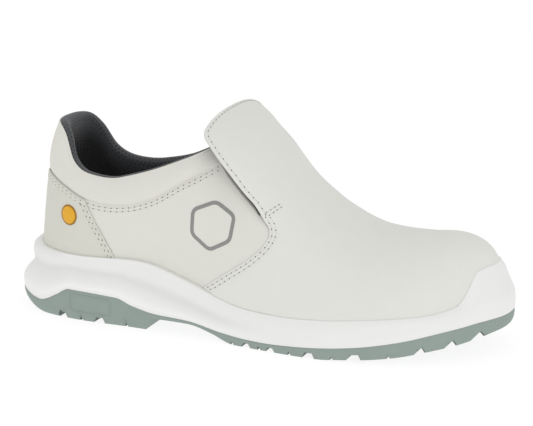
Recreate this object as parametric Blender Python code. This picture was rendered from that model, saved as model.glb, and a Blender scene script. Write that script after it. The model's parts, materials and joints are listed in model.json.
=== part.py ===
"""White slip-on safety shoe, right foot, standing on its sole.

X runs from heel to toe, Y to the inner (medial) side, Z up. Sizes are in millimetres
until the meshes are made. The sections run from the back of the heel to the toe tip,
and each surface is worked out round the shoe from the section tables.
"""
import bmesh
import bpy
import numpy as np

MM = 0.001

# Driving sizes
SHOE_LENGTH = 300.0
BALL_WIDTH = 105.0
TABLE_LENGTH = 300.0
TABLE_WIDTH = 105.0
SEAM_GAP = 0.3
WALL = 2.0
COLLAR_PAD = 4.6
COLLAR_PUFF = 1.6
OVERLAY = 1.4
COUNTER_SKIN = 1.0
GORE_SKIN = 0.6
GORE_GAP = 0.7
VAMP_GAP = 0.85
FLAP_LIFT = 2.6
LIFT_FROM = 34.0
LIFT_OVER = 38.0
LIFT_LOW = 66.0
LIFT_RISE = 24.0
FLAP_FROM = 0.34
FLAP_OVER = 0.34
RIM_WIDTH = 2.2
INSOLE_THICKNESS = 4.0
INSOLE_CLEARANCE = 0.8
CUP_GAP = 0.5
FEATHER_GAP = 0.8
STEEP_GAP = 1.2
OUTSOLE_CORE = 6.5
WING_WIDTH = 4.0
WING_SLOPE = 0.5
HIDDEN_GAP = 0.6
GROOVE_WIDTH = 5.6
GROOVE_WALL = 1.5
GROOVE_DEPTH = 3.0
GROOVE_SHARE = 0.5
CHANNEL_WIDTH = 4.0

# How finely the surfaces are divided
SIDE_STATIONS = 36
SOLE_STATIONS = 26
END_CROWDING = 0.4
WALL_ROWS = (2, 5, 4)
INNER_ROWS = (2, 3, 3)

# Plan outline at the widest level, and the ribs of the upper: one row for each section
SECTION_COLUMNS = ("x", "lateral", "medial", "base_in", "rise", "lean", "run", "drop",
                   "top_x", "top_lateral", "top_medial", "top_z", "on_ridge", "seam", "tip")
SECTIONS = (
    (-150.0, 1.0, 1.0, 11.6, 34.0, -0.07, 7.0, 28.0, -125.6, 1.0, 1.0, 113.2, 0.0, 85.5, 0.0),
    (-147.7, -16.9, 18.9, 12.6, 34.0, -0.07, 7.0, 28.0, -122.8, -15.5, 17.5, 112.4, 0.0, 85.2, 0.8),
    (-138.3, -28.3, 30.8, 10.8, 32.0, -0.04, 6.6, 26.0, -115.5, -24.0, 26.0, 106.4, 0.0, 83.2, 2.1),
    (-122.0, -35.5, 37.5, 7.8, 28.0, 0.03, 5.8, 22.0, -108.0, -29.5, 30.5, 92.9, 0.0, 79.2, 1.2),
    (-102.0, -39.5, 40.0, 5.5, 26.0, 0.08, 5.0, 20.0, -95.0, -33.2, 33.4, 85.6, 0.0, 73.8, 1.6),
    (-78.0, -40.5, 39.5, 5.0, 26.0, 0.06, 5.0, 20.0, -74.0, -34.2, 34.0, 85.7, 0.0, 72.4, 1.6),
    (-54.0, -41.0, 37.5, 5.0, 26.0, 0.05, 5.0, 22.0, -52.0, -34.2, 33.2, 92.2, 0.0, 78.8, 2.1),
    (-30.0, -43.0, 36.5, 5.0, 30.0, 0.08, 7.0, 24.0, -32.0, -33.0, 32.0, 101.4, 0.0, 91.0, 1.2),
    (-6.0, -46.5, 37.5, 5.0, 36.0, 0.10, 16.0, 14.0, -16.5, -23.0, 23.0, 110.2, 0.0, 100.0, 0.4),
    (16.0, -50.0, 41.0, 5.0, 42.0, 0.08, 41.0, 0.0, -9.0, 4.0, 4.0, 119.0, 1.0, 107.0, 0.0),
    (40.0, -53.0, 46.5, 5.0, 34.0, 0.08, 35.0, 0.0, 28.0, 4.0, 4.0, 88.0, 1.0, 80.0, 0.0),
    (65.0, -53.5, 50.5, 5.0, 24.0, 0.10, 34.0, 0.0, 58.0, 3.5, 3.5, 68.3, 1.0, 60.0, 0.0),
    (90.0, -49.5, 51.0, 5.5, 20.0, 0.10, 31.0, 0.0, 80.0, 3.0, 3.0, 62.7, 1.0, 58.0, 0.0),
    (111.0, -42.0, 47.0, 6.0, 20.0, 0.10, 28.0, 0.0, 95.0, 3.0, 3.0, 62.2, 1.0, 58.0, 0.0),
    (129.0, -30.0, 38.5, 7.0, 20.5, 0.10, 27.0, 0.0, 105.0, 3.3, 3.3, 62.7, 1.0, 58.0, 0.0),
    (142.0, -15.0, 27.0, 8.0, 22.0, 0.08, 26.5, 0.0, 110.0, 3.6, 3.6, 63.0, 1.0, 58.0, 0.0),
    (148.5, -3.5, 17.0, 8.7, 23.0, 0.07, 26.0, 0.0, 112.5, 3.8, 3.8, 63.2, 1.0, 58.0, 0.0),
    (150.0, 7.0, 7.0, 9.0, 23.0, 0.07, 25.5, 0.0, 114.0, 3.95, 3.95, 63.2, 1.0, 58.0, 0.0),
)
THROAT_ROW = 9

# The sole's side: heights, and how far each level lies inside the widest outline
SOLE_COLUMNS = ("floor", "feather", "crease_level", "low", "flare", "crease", "bead", "shoulder", "tread_in")
SOLE_ROWS = (
    (26.0, 41.4, 0.63, 0.3, 0.0, 7.6, 7.1, 8.1, 3.6),
    (26.0, 41.2, 0.63, 0.3, 0.0, 7.4, 6.8, 7.7, 3.4),
    (26.0, 40.2, 0.60, 0.4, 0.0, 5.8, 4.9, 5.7, 3.2),
    (26.0, 39.7, 0.55, 0.5, 0.0, 4.0, 2.6, 3.4, 4.0),
    (26.0, 40.0, 0.48, 0.4, 0.0, 3.2, 1.9, 2.3, 4.0),
    (26.0, 41.0, 0.46, 0.4, 0.0, 2.8, 1.2, 1.7, 4.0),
    (25.5, 40.0, 0.42, 0.6, 0.0, 2.4, 1.0, 1.6, 3.0),
    (23.5, 33.0, 0.34, 1.0, 0.2, 1.6, 0.6, 1.4, 1.8),
    (19.5, 25.0, 0.34, 1.2, 0.4, 0.5, 0.2, 1.4, 1.8),
    (15.5, 21.8, 0.40, 1.0, 0.2, 0.0, 0.4, 1.6, 1.6),
    (13.5, 21.6, 0.45, 1.0, 0.2, 0.0, 0.5, 1.7, 1.6),
    (14.0, 23.0, 0.45, 1.0, 0.2, 0.0, 0.6, 1.8, 1.6),
    (16.0, 25.0, 0.45, 1.0, 0.2, 0.0, 0.8, 2.0, 1.8),
    (18.5, 27.0, 0.45, 1.0, 0.2, 0.0, 1.0, 2.4, 2.0),
    (21.0, 31.2, 0.45, 1.0, 0.1, 0.0, 1.6, 3.4, 2.0),
    (23.0, 48.6, 0.38, 0.4, 0.0, 0.2, 3.5, 6.1, 1.8),
    (24.0, 50.0, 0.36, 0.3, 0.0, 0.4, 4.0, 6.7, 1.6),
    (24.0, 50.2, 0.36, 0.3, 0.0, 0.4, 4.2, 7.0, 1.6),
)

# Top of the grey outsole along the side, and the line of the ground under it
GREY_LINE = ((-150.0, 13.4), (-146.0, 12.7), (-139.5, 10.9), (-133.5, 9.5), (-129.0, 9.0), (-125.0, 10.0),
             (-117.0, 14.0), (-107.0, 19.0),
             (-76.0, 17.7), (-66.0, 14.0), (-50.0, 10.6), (-30.0, 9.6), (-7.0, 6.0), (8.0, 4.8),
             (19.0, 4.6), (38.0, 5.4), (74.0, 8.8), (101.0, 13.4), (121.0, 18.1), (131.0, 20.1),
             (139.0, 21.8), (150.0, 23.0))
GROUND_LINE = ((-150.0, 8.6), (-146.0, 6.2), (-139.5, 3.0), (-133.0, 1.0), (-127.0, 0.1), (-122.0, 0.0),
               (-58.0, 0.0), (-53.0, 7.0), (-30.0, 7.6),
               (-13.0, 4.0), (-6.0, 1.4), (0.0, 0.0), (54.0, 0.0), (66.0, 1.0), (81.0, 2.1),
               (99.0, 4.2), (113.0, 6.9), (121.0, 8.4), (129.0, 9.9), (139.0, 12.4), (146.0, 14.4), (150.0, 15.4))
GROOVES = (-114.0, -88.5, 8.8, 24.5, 48.5, 75.3, 111.0, 126.3, 138.4)
CHANNELS = (0.32, 0.68)
SOLE_BREAKS = (-126.0, -117.0, -58.0, -53.0)

# Ridge of the instep and toe box from above the throat to the toe
RIDGE_LINE = ((-45.0, 133.0), (-22.0, 124.9), (-9.0, 119.8), (1.0, 111.3), (11.0, 101.6), (23.0, 90.7),
              (36.0, 81.0), (48.0, 72.9), (60.0, 67.0), (72.0, 63.7), (87.0, 62.6), (99.0, 62.8),
              (112.0, 63.9), (125.0, 63.9))
FLAP_TOP_ROWS = ((7, -36.0, 108.0), (8, -21.0, 90.0), (9, -9.0, 60.0))

# Rear edge of the vamp from the sole up to the flap's corner, seen from the side
VAMP_EDGE = ((-21.0, 29.9), (-14.7, 34.4), (-3.2, 42.6), (9.3, 51.6), (18.6, 61.0), (20.8, 66.0),
             (20.0, 69.6), (17.2, 73.4), (14.6, 77.4), (11.4, 82.0), (6.2, 88.0), (-4.7, 100.8),
             (-15.5, 113.2), (-19.8, 118.2), (-21.4, 121.7), (-21.2, 125.0), (-20.3, 128.5))
COUNTER_EDGE = ((-76.0, 36.0), (-78.0, 41.0), (-83.6, 51.5), (-90.0, 62.0), (-98.0, 76.0), (-102.0, 82.0),
                (-110.0, 86.5), (-118.0, 88.5), (-150.0, 88.5))
# Elastic beside the flap, from its foot to the collar: lower edge, then upper edge under the flap
GORE_COLUMNS = ("x_low", "z_low", "x_high", "z_high")
GORE_ROWS = (
    (10.9, 78.5, 12.8, 81.8),
    (5.5, 83.5, 10.5, 86.5),
    (-1.4, 89.5, 6.0, 94.5),
    (-9.2, 97.0, -1.0, 103.0),
    (-13.6, 103.0, -7.5, 109.0),
    (-16.0, 107.0, -12.5, 112.0),
)

MATERIALS = {
    "outsole": ((0.28, 0.34, 0.31), 0.75),
    "midsole": ((0.86, 0.86, 0.85), 0.55),
    "upper": ((0.76, 0.76, 0.73), 0.55),
    "vamp": ((0.78, 0.78, 0.75), 0.50),
    "counter": ((0.77, 0.77, 0.74), 0.52),
    "gore_lateral": ((0.05, 0.05, 0.06), 0.85),
    "gore_medial": ((0.05, 0.05, 0.06), 0.85),
    "insole": ((0.06, 0.06, 0.07), 0.90),
}

ALONG = SHOE_LENGTH / TABLE_LENGTH
ACROSS = BALL_WIDTH / TABLE_WIDTH


def columns(names, rows):
    return {name: np.array([row[i] for row in rows], float) for i, name in enumerate(names)}


SECTION = columns(SECTION_COLUMNS, SECTIONS)
SOLE = columns(SOLE_COLUMNS, SOLE_ROWS)
GORE = columns(GORE_COLUMNS, GORE_ROWS)
for key in ("x", "top_x"):
    SECTION[key] = SECTION[key] * ALONG
MIDDLE_Y = (SECTION["lateral"].min() + SECTION["medial"].max()) / 2
for key in ("lateral", "medial", "top_lateral", "top_medial"):
    SECTION[key] = (SECTION[key] - MIDDLE_Y) * ACROSS


def monotone(knots, values, at):
    """A smooth curve through table values that does not overshoot them."""
    knots = np.asarray(knots, float)
    values = np.asarray(values, float)
    step = np.diff(knots)
    slope = np.diff(values) / step
    tangent = np.zeros(len(knots))
    tangent[0] = slope[0]
    tangent[-1] = slope[-1]
    before = slope[:-1]
    after = slope[1:]
    same = before * after > 0
    total = np.where(same, before + after, 1.0)
    tangent[1:-1] = np.where(same, 2 * before * after / total, 0.0)
    at = np.clip(np.asarray(at, float), knots[0], knots[-1])
    i = np.clip(np.searchsorted(knots, at, side="right") - 1, 0, len(step) - 1)
    t = (at - knots[i]) / step[i]
    h = step[i]
    return ((1 + 2 * t) * (1 - t) ** 2 * values[i] + t * (1 - t) ** 2 * h * tangent[i]
            + t * t * (3 - 2 * t) * values[i + 1] + t * t * (t - 1) * h * tangent[i + 1])


def flowing(knots, values, at):
    """A rounder curve through table values, each bend set by its near neighbours."""
    step = np.diff(knots)
    slope = np.diff(values) / step
    before = slope[1:-2]
    after = slope[2:-1]
    weight_before = abs(slope[3:] - after) + 1e-9
    weight_after = abs(before - slope[:-3]) + 1e-9
    tangent = np.zeros(len(knots))
    tangent[2:-2] = (weight_before * before + weight_after * after) / (weight_before + weight_after)
    i = np.clip(np.searchsorted(knots, at, side="right") - 1, 2, len(step) - 3)
    t = (at - knots[i]) / step[i]
    h = step[i]
    return ((1 + 2 * t) * (1 - t) ** 2 * values[i] + t * (1 - t) ** 2 * h * tangent[i]
            + t * t * (3 - 2 * t) * values[i + 1] + t * t * (t - 1) * h * tangent[i + 1])


def station_lengths():
    """Distance of each section along the outline, the mean of both sides."""
    total = 0.0
    found = [0.0]
    for i in range(1, len(SECTIONS)):
        dx = SECTION["x"][i] - SECTION["x"][i - 1]
        lateral = np.hypot(dx, SECTION["lateral"][i] - SECTION["lateral"][i - 1])
        medial = np.hypot(dx, SECTION["medial"][i] - SECTION["medial"][i - 1])
        total += (lateral + medial) / 2
        found.append(total)
    return np.array(found)


STATION = station_lengths()
END = STATION[-1]
LOOP = 2 * END
LOOP_KNOTS = np.concatenate([STATION, (LOOP - STATION[1:-1])[::-1]])


def round_values(lateral, medial):
    return np.concatenate([lateral, medial[1:-1][::-1]])


def around(lateral, medial, c):
    """A table column taken round the shoe: heel, lateral side, toe, medial side."""
    values = round_values(lateral, medial)
    pad = 4
    knots = np.concatenate([LOOP_KNOTS[-pad:] - LOOP, LOOP_KNOTS, LOOP_KNOTS[:pad] + LOOP])
    values = np.concatenate([values[-pad:], values, values[:pad]])
    return flowing(knots, values, np.mod(c, LOOP))


def both(table, name, c):
    return around(table[name], table[name], c)


def closed_spline(values):
    """Second derivatives of a smooth closed curve through the loop's knots."""
    n = len(LOOP_KNOTS)
    step = np.diff(np.append(LOOP_KNOTS, LOOP))
    matrix = np.zeros((n, n))
    right = np.zeros(n)
    for i in range(n):
        h0 = step[i - 1]
        h1 = step[i]
        matrix[i, i - 1] += h0
        matrix[i, i] += 2 * (h0 + h1)
        matrix[i, (i + 1) % n] += h1
        right[i] = 6 * ((values[(i + 1) % n] - values[i]) / h1 - (values[i] - values[i - 1]) / h0)
    return np.linalg.solve(matrix, right)


PLAN_X = round_values(SECTION["x"], SECTION["x"])
PLAN_Y = round_values(SECTION["lateral"], SECTION["medial"])
BEND_X = closed_spline(PLAN_X)
BEND_Y = closed_spline(PLAN_Y)


def loop_curve(values, bends, c):
    n = len(LOOP_KNOTS)
    c = np.mod(np.asarray(c, float), LOOP)
    ends = np.append(LOOP_KNOTS, LOOP)
    i = np.clip(np.searchsorted(ends, c, side="right") - 1, 0, n - 1)
    j = (i + 1) % n
    h = ends[i + 1] - ends[i]
    a = (ends[i + 1] - c) / h
    b = 1 - a
    return (a * values[i] + b * values[j]
            + ((a ** 3 - a) * bends[i] + (b ** 3 - b) * bends[j]) * h * h / 6)


def outline(c):
    return loop_curve(PLAN_X, BEND_X, c), loop_curve(PLAN_Y, BEND_Y, c)


def outward(c):
    """Unit normal of the plan outline, pointing out of the shoe."""
    small = 0.05
    x1, y1 = outline(np.asarray(c) + small)
    x0, y0 = outline(np.asarray(c) - small)
    length = np.hypot(x1 - x0, y1 - y0)
    return (y1 - y0) / length, -(x1 - x0) / length


def line(table, x):
    return monotone([row[0] * ALONG for row in table], [row[1] for row in table], x)


def ridge_slope(x):
    return (line(RIDGE_LINE, x + 0.5) - line(RIDGE_LINE, x - 0.5)) / 1.0


def tops(c, flap):
    """Where each rib ends: on the collar, on the ridge, or on the flap's own ridge."""
    top_x = SECTION["top_x"].copy()
    top_lateral = SECTION["top_lateral"].copy()
    top_medial = SECTION["top_medial"].copy()
    ridge = SECTION["on_ridge"].copy()
    if flap:
        for row, x, run in FLAP_TOP_ROWS:
            top_x[row] = x * ALONG
            top_lateral[row] = SECTION["top_lateral"][THROAT_ROW]
            top_medial[row] = SECTION["top_medial"][THROAT_ROW]
            ridge[row] = 1.0
    middle = (top_lateral + top_medial) / 2
    middle[:THROAT_ROW] = middle[THROAT_ROW]
    x = around(top_x, top_x, c)
    share = around(ridge, ridge, c)
    y = np.where(share > 0.999, around(middle, middle, c), around(top_lateral, top_medial, c))
    share = np.clip(share, 0.0, 1.0)
    collar = around(SECTION["top_z"] + SECTION["tip"], SECTION["top_z"] - SECTION["tip"], c)
    z = collar * (1 - share) + line(RIDGE_LINE, x) * share
    return x, y, z, share


def ribs(c, flap):
    """Four control points for each rib, from the feather of the sole to its top."""
    x, y = outline(c)
    nx, ny = outward(c)
    inset = both(SECTION, "base_in", c)
    base = np.stack([x - inset * nx, y - inset * ny, both(SOLE, "floor", c) + SEAM_GAP], -1)
    rise = both(SECTION, "rise", c)
    lean = both(SECTION, "lean", c) * rise
    low = base + np.stack([lean * nx, lean * ny, rise], -1)
    tx, ty, tz, share = tops(c, flap)
    head = np.stack([tx, ty, tz], -1)
    run = both(SECTION, "run", c)
    drop = SECTION["drop"].copy()
    if flap:
        wide = SECTION["run"].copy()
        for row, flap_x, flap_run in FLAP_TOP_ROWS:
            wide[row] = flap_run
            drop[row] = 0.0
        run = np.maximum(run, around(wide, wide, c))
    drop = around(drop, drop, c)
    high = head + np.stack([run * nx, run * ny, share * run * nx * ridge_slope(tx) - drop], -1)
    return base, low, high, head


def c_station(c):
    c = np.mod(np.asarray(c, float), LOOP)
    return np.minimum(c, LOOP - c)


def bezier(points, v):
    base, low, high, head = points
    v = np.asarray(v, float)[..., None]
    u = 1 - v
    return base * u ** 3 + low * (3 * u * u * v) + high * (3 * u * v * v) + head * v ** 3


def rib_sets(c, flap):
    """The upper's ribs, and for the flap its own ribs too."""
    c = np.asarray(c, float)
    return [ribs(c, False), ribs(c, True)] if flap else [ribs(c, False)]


def on_ribs(sets, v):
    """Points on the ribs; the flap leaves the upper's ribs gradually on its way up."""
    points = bezier(sets[0], v)
    if len(sets) > 1:
        share = smooth_step((np.asarray(v, float) - FLAP_FROM) / FLAP_OVER)[..., None]
        points = points + (bezier(sets[1], v) - points) * share
    return points


def surface(c, v, flap=False):
    return on_ribs(rib_sets(c, flap), v)


def normals(c, v, flap=False):
    c = np.asarray(c, float)
    v = np.asarray(v, float)
    small_c = 0.4
    small_v = 0.004
    v_high = np.minimum(v + small_v, 1.0)
    v_low = np.maximum(v - small_v, 0.0)
    along = surface(c + small_c, v, flap) - surface(c - small_c, v, flap)
    up = surface(c, v_high, flap) - surface(c, v_low, flap)
    found = np.cross(along, up)
    tx, ty, tz, share = tops(c, flap)
    slope = ridge_slope(tx)
    on_top = (share > 0.999) & (v > 0.9999)
    ridge = np.stack([-slope, 0 * slope, 1 + 0 * slope], -1)
    found = np.where(on_top[..., None], ridge, found)
    return found / np.linalg.norm(found, axis=-1)[..., None]


def height_share(c, z, flap=False):
    """Share of each rib at which it reaches a given height."""
    sets = rib_sets(c, flap)
    low = np.zeros(np.shape(c))
    high = np.ones(np.shape(c))
    for _ in range(30):
        mid = (low + high) / 2
        under = on_ribs(sets, mid)[..., 2] < z
        low = np.where(under, mid, low)
        high = np.where(under, high, mid)
    return (low + high) / 2


def smooth_step(t):
    t = np.clip(t, 0.0, 1.0)
    return t * t * (3 - 2 * t)


def collar_share(c):
    """One along the collar, fading out towards the throat."""
    s = c_station(c)
    return 1 - smooth_step((s - STATION[7]) / (STATION[9] - STATION[7]))


def puff(c, v):
    """The padded collar band stands out between its seam and the rim."""
    seam = height_share(c, both(SECTION, "seam", c))
    t = np.clip((v - seam) / np.maximum(1 - seam, 0.02), 0.0, 1.0)
    return COLLAR_PUFF * np.sin(np.pi * t ** 0.8) ** 0.8 * collar_share(c)


def skin(c, v, offset):
    """The upper's outer face, moved out along its normal."""
    c = np.asarray(c, float)
    v = np.broadcast_to(np.asarray(v, float), c.shape)
    start = surface(c, v)
    move = puff(c, v) + offset
    return start + normals(c, v) * move[..., None]


def lift(points):
    """How far the flap stands off the quarters: none at its sewn lower edge."""
    back = smooth_step((LIFT_FROM - points[..., 0] / ALONG) / LIFT_OVER)
    return FLAP_LIFT * back * smooth_step((points[..., 2] - LIFT_LOW) / LIFT_RISE)


def flap_skin(c, v, offset):
    c = np.asarray(c, float)
    v = np.broadcast_to(np.asarray(v, float), c.shape)
    start = surface(c, v, True)
    move = lift(start) + offset
    return start + normals(c, v, True) * move[..., None]


def side_stations(count):
    """Stations along one side, from heel centre to toe centre, closer at both ends."""
    t = np.linspace(0.0, 1.0, count + 1)
    return END * (t - END_CROWDING * np.sin(2 * np.pi * t) / (2 * np.pi))


def upper_stations():
    """The upper's stations along one side, one of them at the middle of the throat."""
    found = side_stations(SIDE_STATIONS)
    found[throat_index()] = STATION[THROAT_ROW]
    return found


def throat_index():
    return int(np.argmin(abs(side_stations(SIDE_STATIONS) - STATION[THROAT_ROW])))


def loop_stations(one_side):
    return np.concatenate([one_side, (LOOP - one_side[1:-1])[::-1]])


class Shape:
    """Collects points and faces, then makes one object of them."""

    def __init__(self):
        self.points = []
        self.faces = []

    def add(self, rows):
        first = len(self.points)
        self.points.extend(np.asarray(rows, float).reshape(-1, 3).tolist())
        return list(range(first, len(self.points)))

    def band(self, one, two, closed=True):
        count = len(one)
        last = count if closed else count - 1
        for i in range(last):
            j = (i + 1) % count
            self.faces.append((one[i], one[j], two[j], two[i]))

    def cap(self, ring):
        """Close a ring by strips from the lateral to the medial side."""
        half = len(ring) // 2
        for i in range(half):
            quad = (ring[i], ring[i + 1], ring[-i - 1], ring[(-i) % len(ring)])
            kept = list(dict.fromkeys(quad))
            if len(kept) > 2:
                self.faces.append(tuple(kept))

    def make(self, name):
        mesh = bpy.data.meshes.new(name)
        points = [(x * MM, y * MM, z * MM) for x, y, z in self.points]
        mesh.from_pydata(points, [], self.faces)
        tidy(mesh)
        item = bpy.data.objects.new(name, mesh)
        bpy.context.scene.collection.objects.link(item)
        return item


def tidy(mesh):
    work = bmesh.new()
    work.from_mesh(mesh)
    bmesh.ops.remove_doubles(work, verts=work.verts, dist=0.002 * MM)
    bmesh.ops.dissolve_degenerate(work, edges=work.edges, dist=0.001 * MM)
    bmesh.ops.recalc_face_normals(work, faces=work.faces)
    work.to_mesh(mesh)
    work.free()
    mesh.update()


def finish(item):
    colour, rough = MATERIALS[item.name]
    material = bpy.data.materials.new(item.name)
    material.use_nodes = True
    shader = material.node_tree.nodes["Principled BSDF"]
    shader.inputs["Base Color"].default_value = (*colour, 1.0)
    shader.inputs["Roughness"].default_value = rough
    item.data.materials.clear()
    item.data.materials.append(material)
    for face in item.data.polygons:
        face.use_smooth = True


def build_midsole():
    c = loop_stations(sole_stations())
    x, y = outline(c)
    nx, ny = outward(c)
    feather = both(SOLE, "feather", c)
    top = height_share(c, feather)
    grey = line(GREY_LINE, x)
    core = core_height(x)

    def at(inset, z):
        return np.stack([x - inset * nx, y - inset * ny, z], -1)

    shape = Shape()
    rings = []
    for share in (0.0, 0.5, 1.0):
        ring = skin(c, top * share, CUP_GAP)
        if share == 0.0:
            ring[:, 2] = both(SOLE, "floor", c)
        rings.append(ring)
    rings.append(skin(c, top, RIM_WIDTH))
    crease = both(SOLE, "crease_level", c)
    levels = (("shoulder", crease + (1 - crease) * 0.86), ("bead", crease + (1 - crease) * 0.5),
              ("crease", crease), ("flare", crease * 0.3))
    bottom = grey + SEAM_GAP
    for name, level in levels:
        rings.append(at(both(SOLE, name, c), bottom + (feather - bottom) * level))
    low = both(SOLE, "low", c)
    rings.append(at(low, bottom))
    rings.append(at(low + WING_WIDTH + HIDDEN_GAP, bottom))
    rings.append(at(low + WING_WIDTH + WING_SLOPE + HIDDEN_GAP, core + HIDDEN_GAP))
    numbered = [shape.add(ring) for ring in rings]
    for one, two in zip(numbered, numbered[1:]):
        shape.band(one, two)
    shape.cap(numbered[0])
    shape.cap(numbered[-1])
    return shape.make("midsole")


def core_height(x):
    """Top of the outsole inside its raised edge."""
    return np.minimum(line(GREY_LINE, x) - 0.05, line(GROUND_LINE, x) + OUTSOLE_CORE)


def groove_depth(x):
    return np.minimum(GROOVE_DEPTH, GROOVE_SHARE * (core_height(x) - line(GROUND_LINE, x)))


def sole_stations():
    """Even stations with more at the grooves, the heel breast and the wing of the heel."""
    even = side_stations(SOLE_STATIONS)
    x_even = outline(even)[0]
    wanted = []
    for groove in GROOVES:
        half = GROOVE_WIDTH / 2
        for place in (-half, GROOVE_WALL - half, half - GROOVE_WALL, half):
            wanted.append(groove * ALONG + place)
    for place in SOLE_BREAKS:
        wanted.append(place * ALONG)
    fine = np.linspace(0.0, END, 4001)
    x_fine = outline(fine)[0]
    found = [float(np.interp(x, x_fine, fine)) for x in wanted]
    near = 3.0
    for s, x in zip(even, x_even):
        ends = s in (even[0], even[-1])
        if ends or min(abs(x - w) for w in wanted) > near:
            found.append(float(s))
    return np.array(sorted(found))


def in_groove(x):
    deep = GROOVE_WIDTH / 2 - GROOVE_WALL + 0.05
    return np.array([min(abs(p - g * ALONG) for g in GROOVES) < deep for p in x])


def build_outsole():
    c = loop_stations(sole_stations())
    x, y = outline(c)
    nx, ny = outward(c)
    grey = line(GREY_LINE, x)
    ground = line(GROUND_LINE, x)
    core = core_height(x)
    low = both(SOLE, "low", c)
    cut = np.where(in_groove(x), groove_depth(x), 0.0)

    def at(inset, z):
        return np.stack([x - inset * nx, y - inset * ny, z], -1)

    side_low = ground + np.maximum(0.35 * (grey - ground), cut + 0.4)
    side_low = np.minimum(side_low, grey - 0.35)
    rings = [at(low + WING_WIDTH + WING_SLOPE, core), at(low + WING_WIDTH, grey), at(low, grey),
             at(low + 0.3, side_low), at(both(SOLE, "tread_in", c), ground + cut)]
    shape = Shape()
    numbered = [shape.add(ring) for ring in rings]
    for one, two in zip(numbered, numbered[1:]):
        shape.band(one, two)
    shape.cap(numbered[0])
    build_tread(shape, numbered[-1], rings[-1], x)
    return shape.make("outsole")


def build_tread(shape, ring, points, x):
    """Lugs: the ground face crossed by grooves and two long channels."""
    half = len(ring) // 2
    count = len(ring)
    rows = []
    for i in range(half + 1):
        j = (-i) % count
        lateral = points[i]
        medial = points[j]
        if i in (0, half):
            rows.append([ring[i]] * (4 * len(CHANNELS) + 2))
            continue
        width = np.linalg.norm(medial - lateral)
        base = float(line(GROUND_LINE, x[i]))
        depth = float(groove_depth(x[i]))
        grooved = in_groove([x[i]])[0]
        row = [ring[i]]
        for channel in CHANNELS:
            reach = min(CHANNEL_WIDTH / 2 / width, 0.1)
            wall = min(GROOVE_WALL / width, 0.03)
            for place, deep in ((-reach, False), (wall - reach, True), (reach - wall, True), (reach, False)):
                point = lateral + (medial - lateral) * (channel + place)
                point[2] = base + (depth if grooved or deep else 0.0)
                row.extend(shape.add([point]))
        row.append(ring[j])
        rows.append(row)
    for one, two in zip(rows, rows[1:]):
        for a, b, d, e in zip(one, one[1:], two[1:], two):
            kept = list(dict.fromkeys((a, b, d, e)))
            if len(kept) > 2:
                shape.faces.append(tuple(kept))


def wall_at(c, v):
    """Thickness of the upper: one wall, with padding at the collar."""
    pad = smooth_step((v - 0.62) / 0.34) * collar_share(c)
    return WALL + COLLAR_PAD * pad


def wall_rows(c, counts):
    """Rows up the ribs: inside the sole's cup, up to the collar seam, and over it."""
    steep = abs(both(SOLE, "feather", c + 0.5) - both(SOLE, "feather", c - 0.5))
    feather = height_share(c, both(SOLE, "feather", c) + FEATHER_GAP * (1 + STEEP_GAP * steep))
    seam = height_share(c, both(SECTION, "seam", c))
    inside, under, over = counts
    rows = [feather * i / inside for i in range(inside)]
    rows += [feather + (seam - feather) * i / under for i in range(under)]
    return rows + [seam + (1 - seam) * i / over for i in range(over + 1)]


def overlay_rows(c, first, last):
    return wall_rows(c, WALL_ROWS)[first:last]


def build_upper():
    c = loop_stations(upper_stations())
    shape = Shape()
    outer = [shape.add(skin(c, v, 0.0)) for v in wall_rows(c, WALL_ROWS)]
    inner = []
    for v in wall_rows(c, INNER_ROWS):
        inner.append(shape.add(skin(c, v, -wall_at(c, v) - puff(c, v))))
    for rows in (outer, inner):
        for one, two in zip(rows, rows[1:]):
            shape.band(one, two)
    shape.band(outer[0], inner[0])
    close_rim(shape, len(c), outer[-1], inner[-1])
    return shape.make("upper")


def close_rim(shape, count, outer, inner):
    """A rounded lip round the collar and throat, from the outer to the inner face."""
    throat = throat_index()
    order = [i % count for i in range(-throat, throat + 1)]
    out = np.array([shape.points[outer[i]] for i in order])
    into = np.array([shape.points[inner[i]] for i in order])
    ahead = np.roll(out[:-1], -1, axis=0)
    behind = np.roll(out[:-1], 1, axis=0)
    along = ahead - behind
    across = (out - into)[:-1]
    up = np.cross(along, across)
    up /= np.linalg.norm(up, axis=1)[:, None]
    up *= np.sign(up[:, 2])[:, None]
    reach = np.linalg.norm(across, axis=1) / 2
    rows = [[outer[i] for i in order[:-1]]]
    for angle in (45.0, 90.0, 135.0):
        turn = np.radians(angle)
        middle = (out + into)[:-1] / 2
        ring = middle + across / 2 * np.cos(turn) + up * (reach * np.sin(turn) * 0.85)[:, None]
        rows.append(shape.add(ring))
    rows.append([inner[i] for i in order[:-1]])
    for one, two in zip(rows, rows[1:]):
        shape.band(one, two)


def build_insole():
    c = loop_stations(side_stations(SIDE_STATIONS))
    reach = -(WALL + INSOLE_CLEARANCE)
    low = skin(c, np.zeros(c.shape), reach)
    floor = both(SOLE, "floor", c) + SEAM_GAP
    low[:, 2] = floor
    share = height_share(c, floor + INSOLE_THICKNESS)
    high = skin(c, share, reach)
    high[:, 2] = floor + INSOLE_THICKNESS
    shape = Shape()
    one = shape.add(low)
    two = shape.add(high)
    shape.band(one, two)
    shape.cap(one)
    shape.cap(two)
    return shape.make("insole")


def prism(name, outline_points):
    """A cutter: a side view outline drawn out across the shoe."""
    shape = Shape()
    reach = 120.0
    near = shape.add([(x * ALONG, -reach, z) for x, z in outline_points])
    far = shape.add([(x * ALONG, reach, z) for x, z in outline_points])
    shape.band(near, far)
    shape.faces.append(tuple(near))
    shape.faces.append(tuple(reversed(far)))
    cutter = shape.make(name)
    cutter.hide_render = True
    cutter.display_type = "WIRE"
    return cutter


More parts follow.
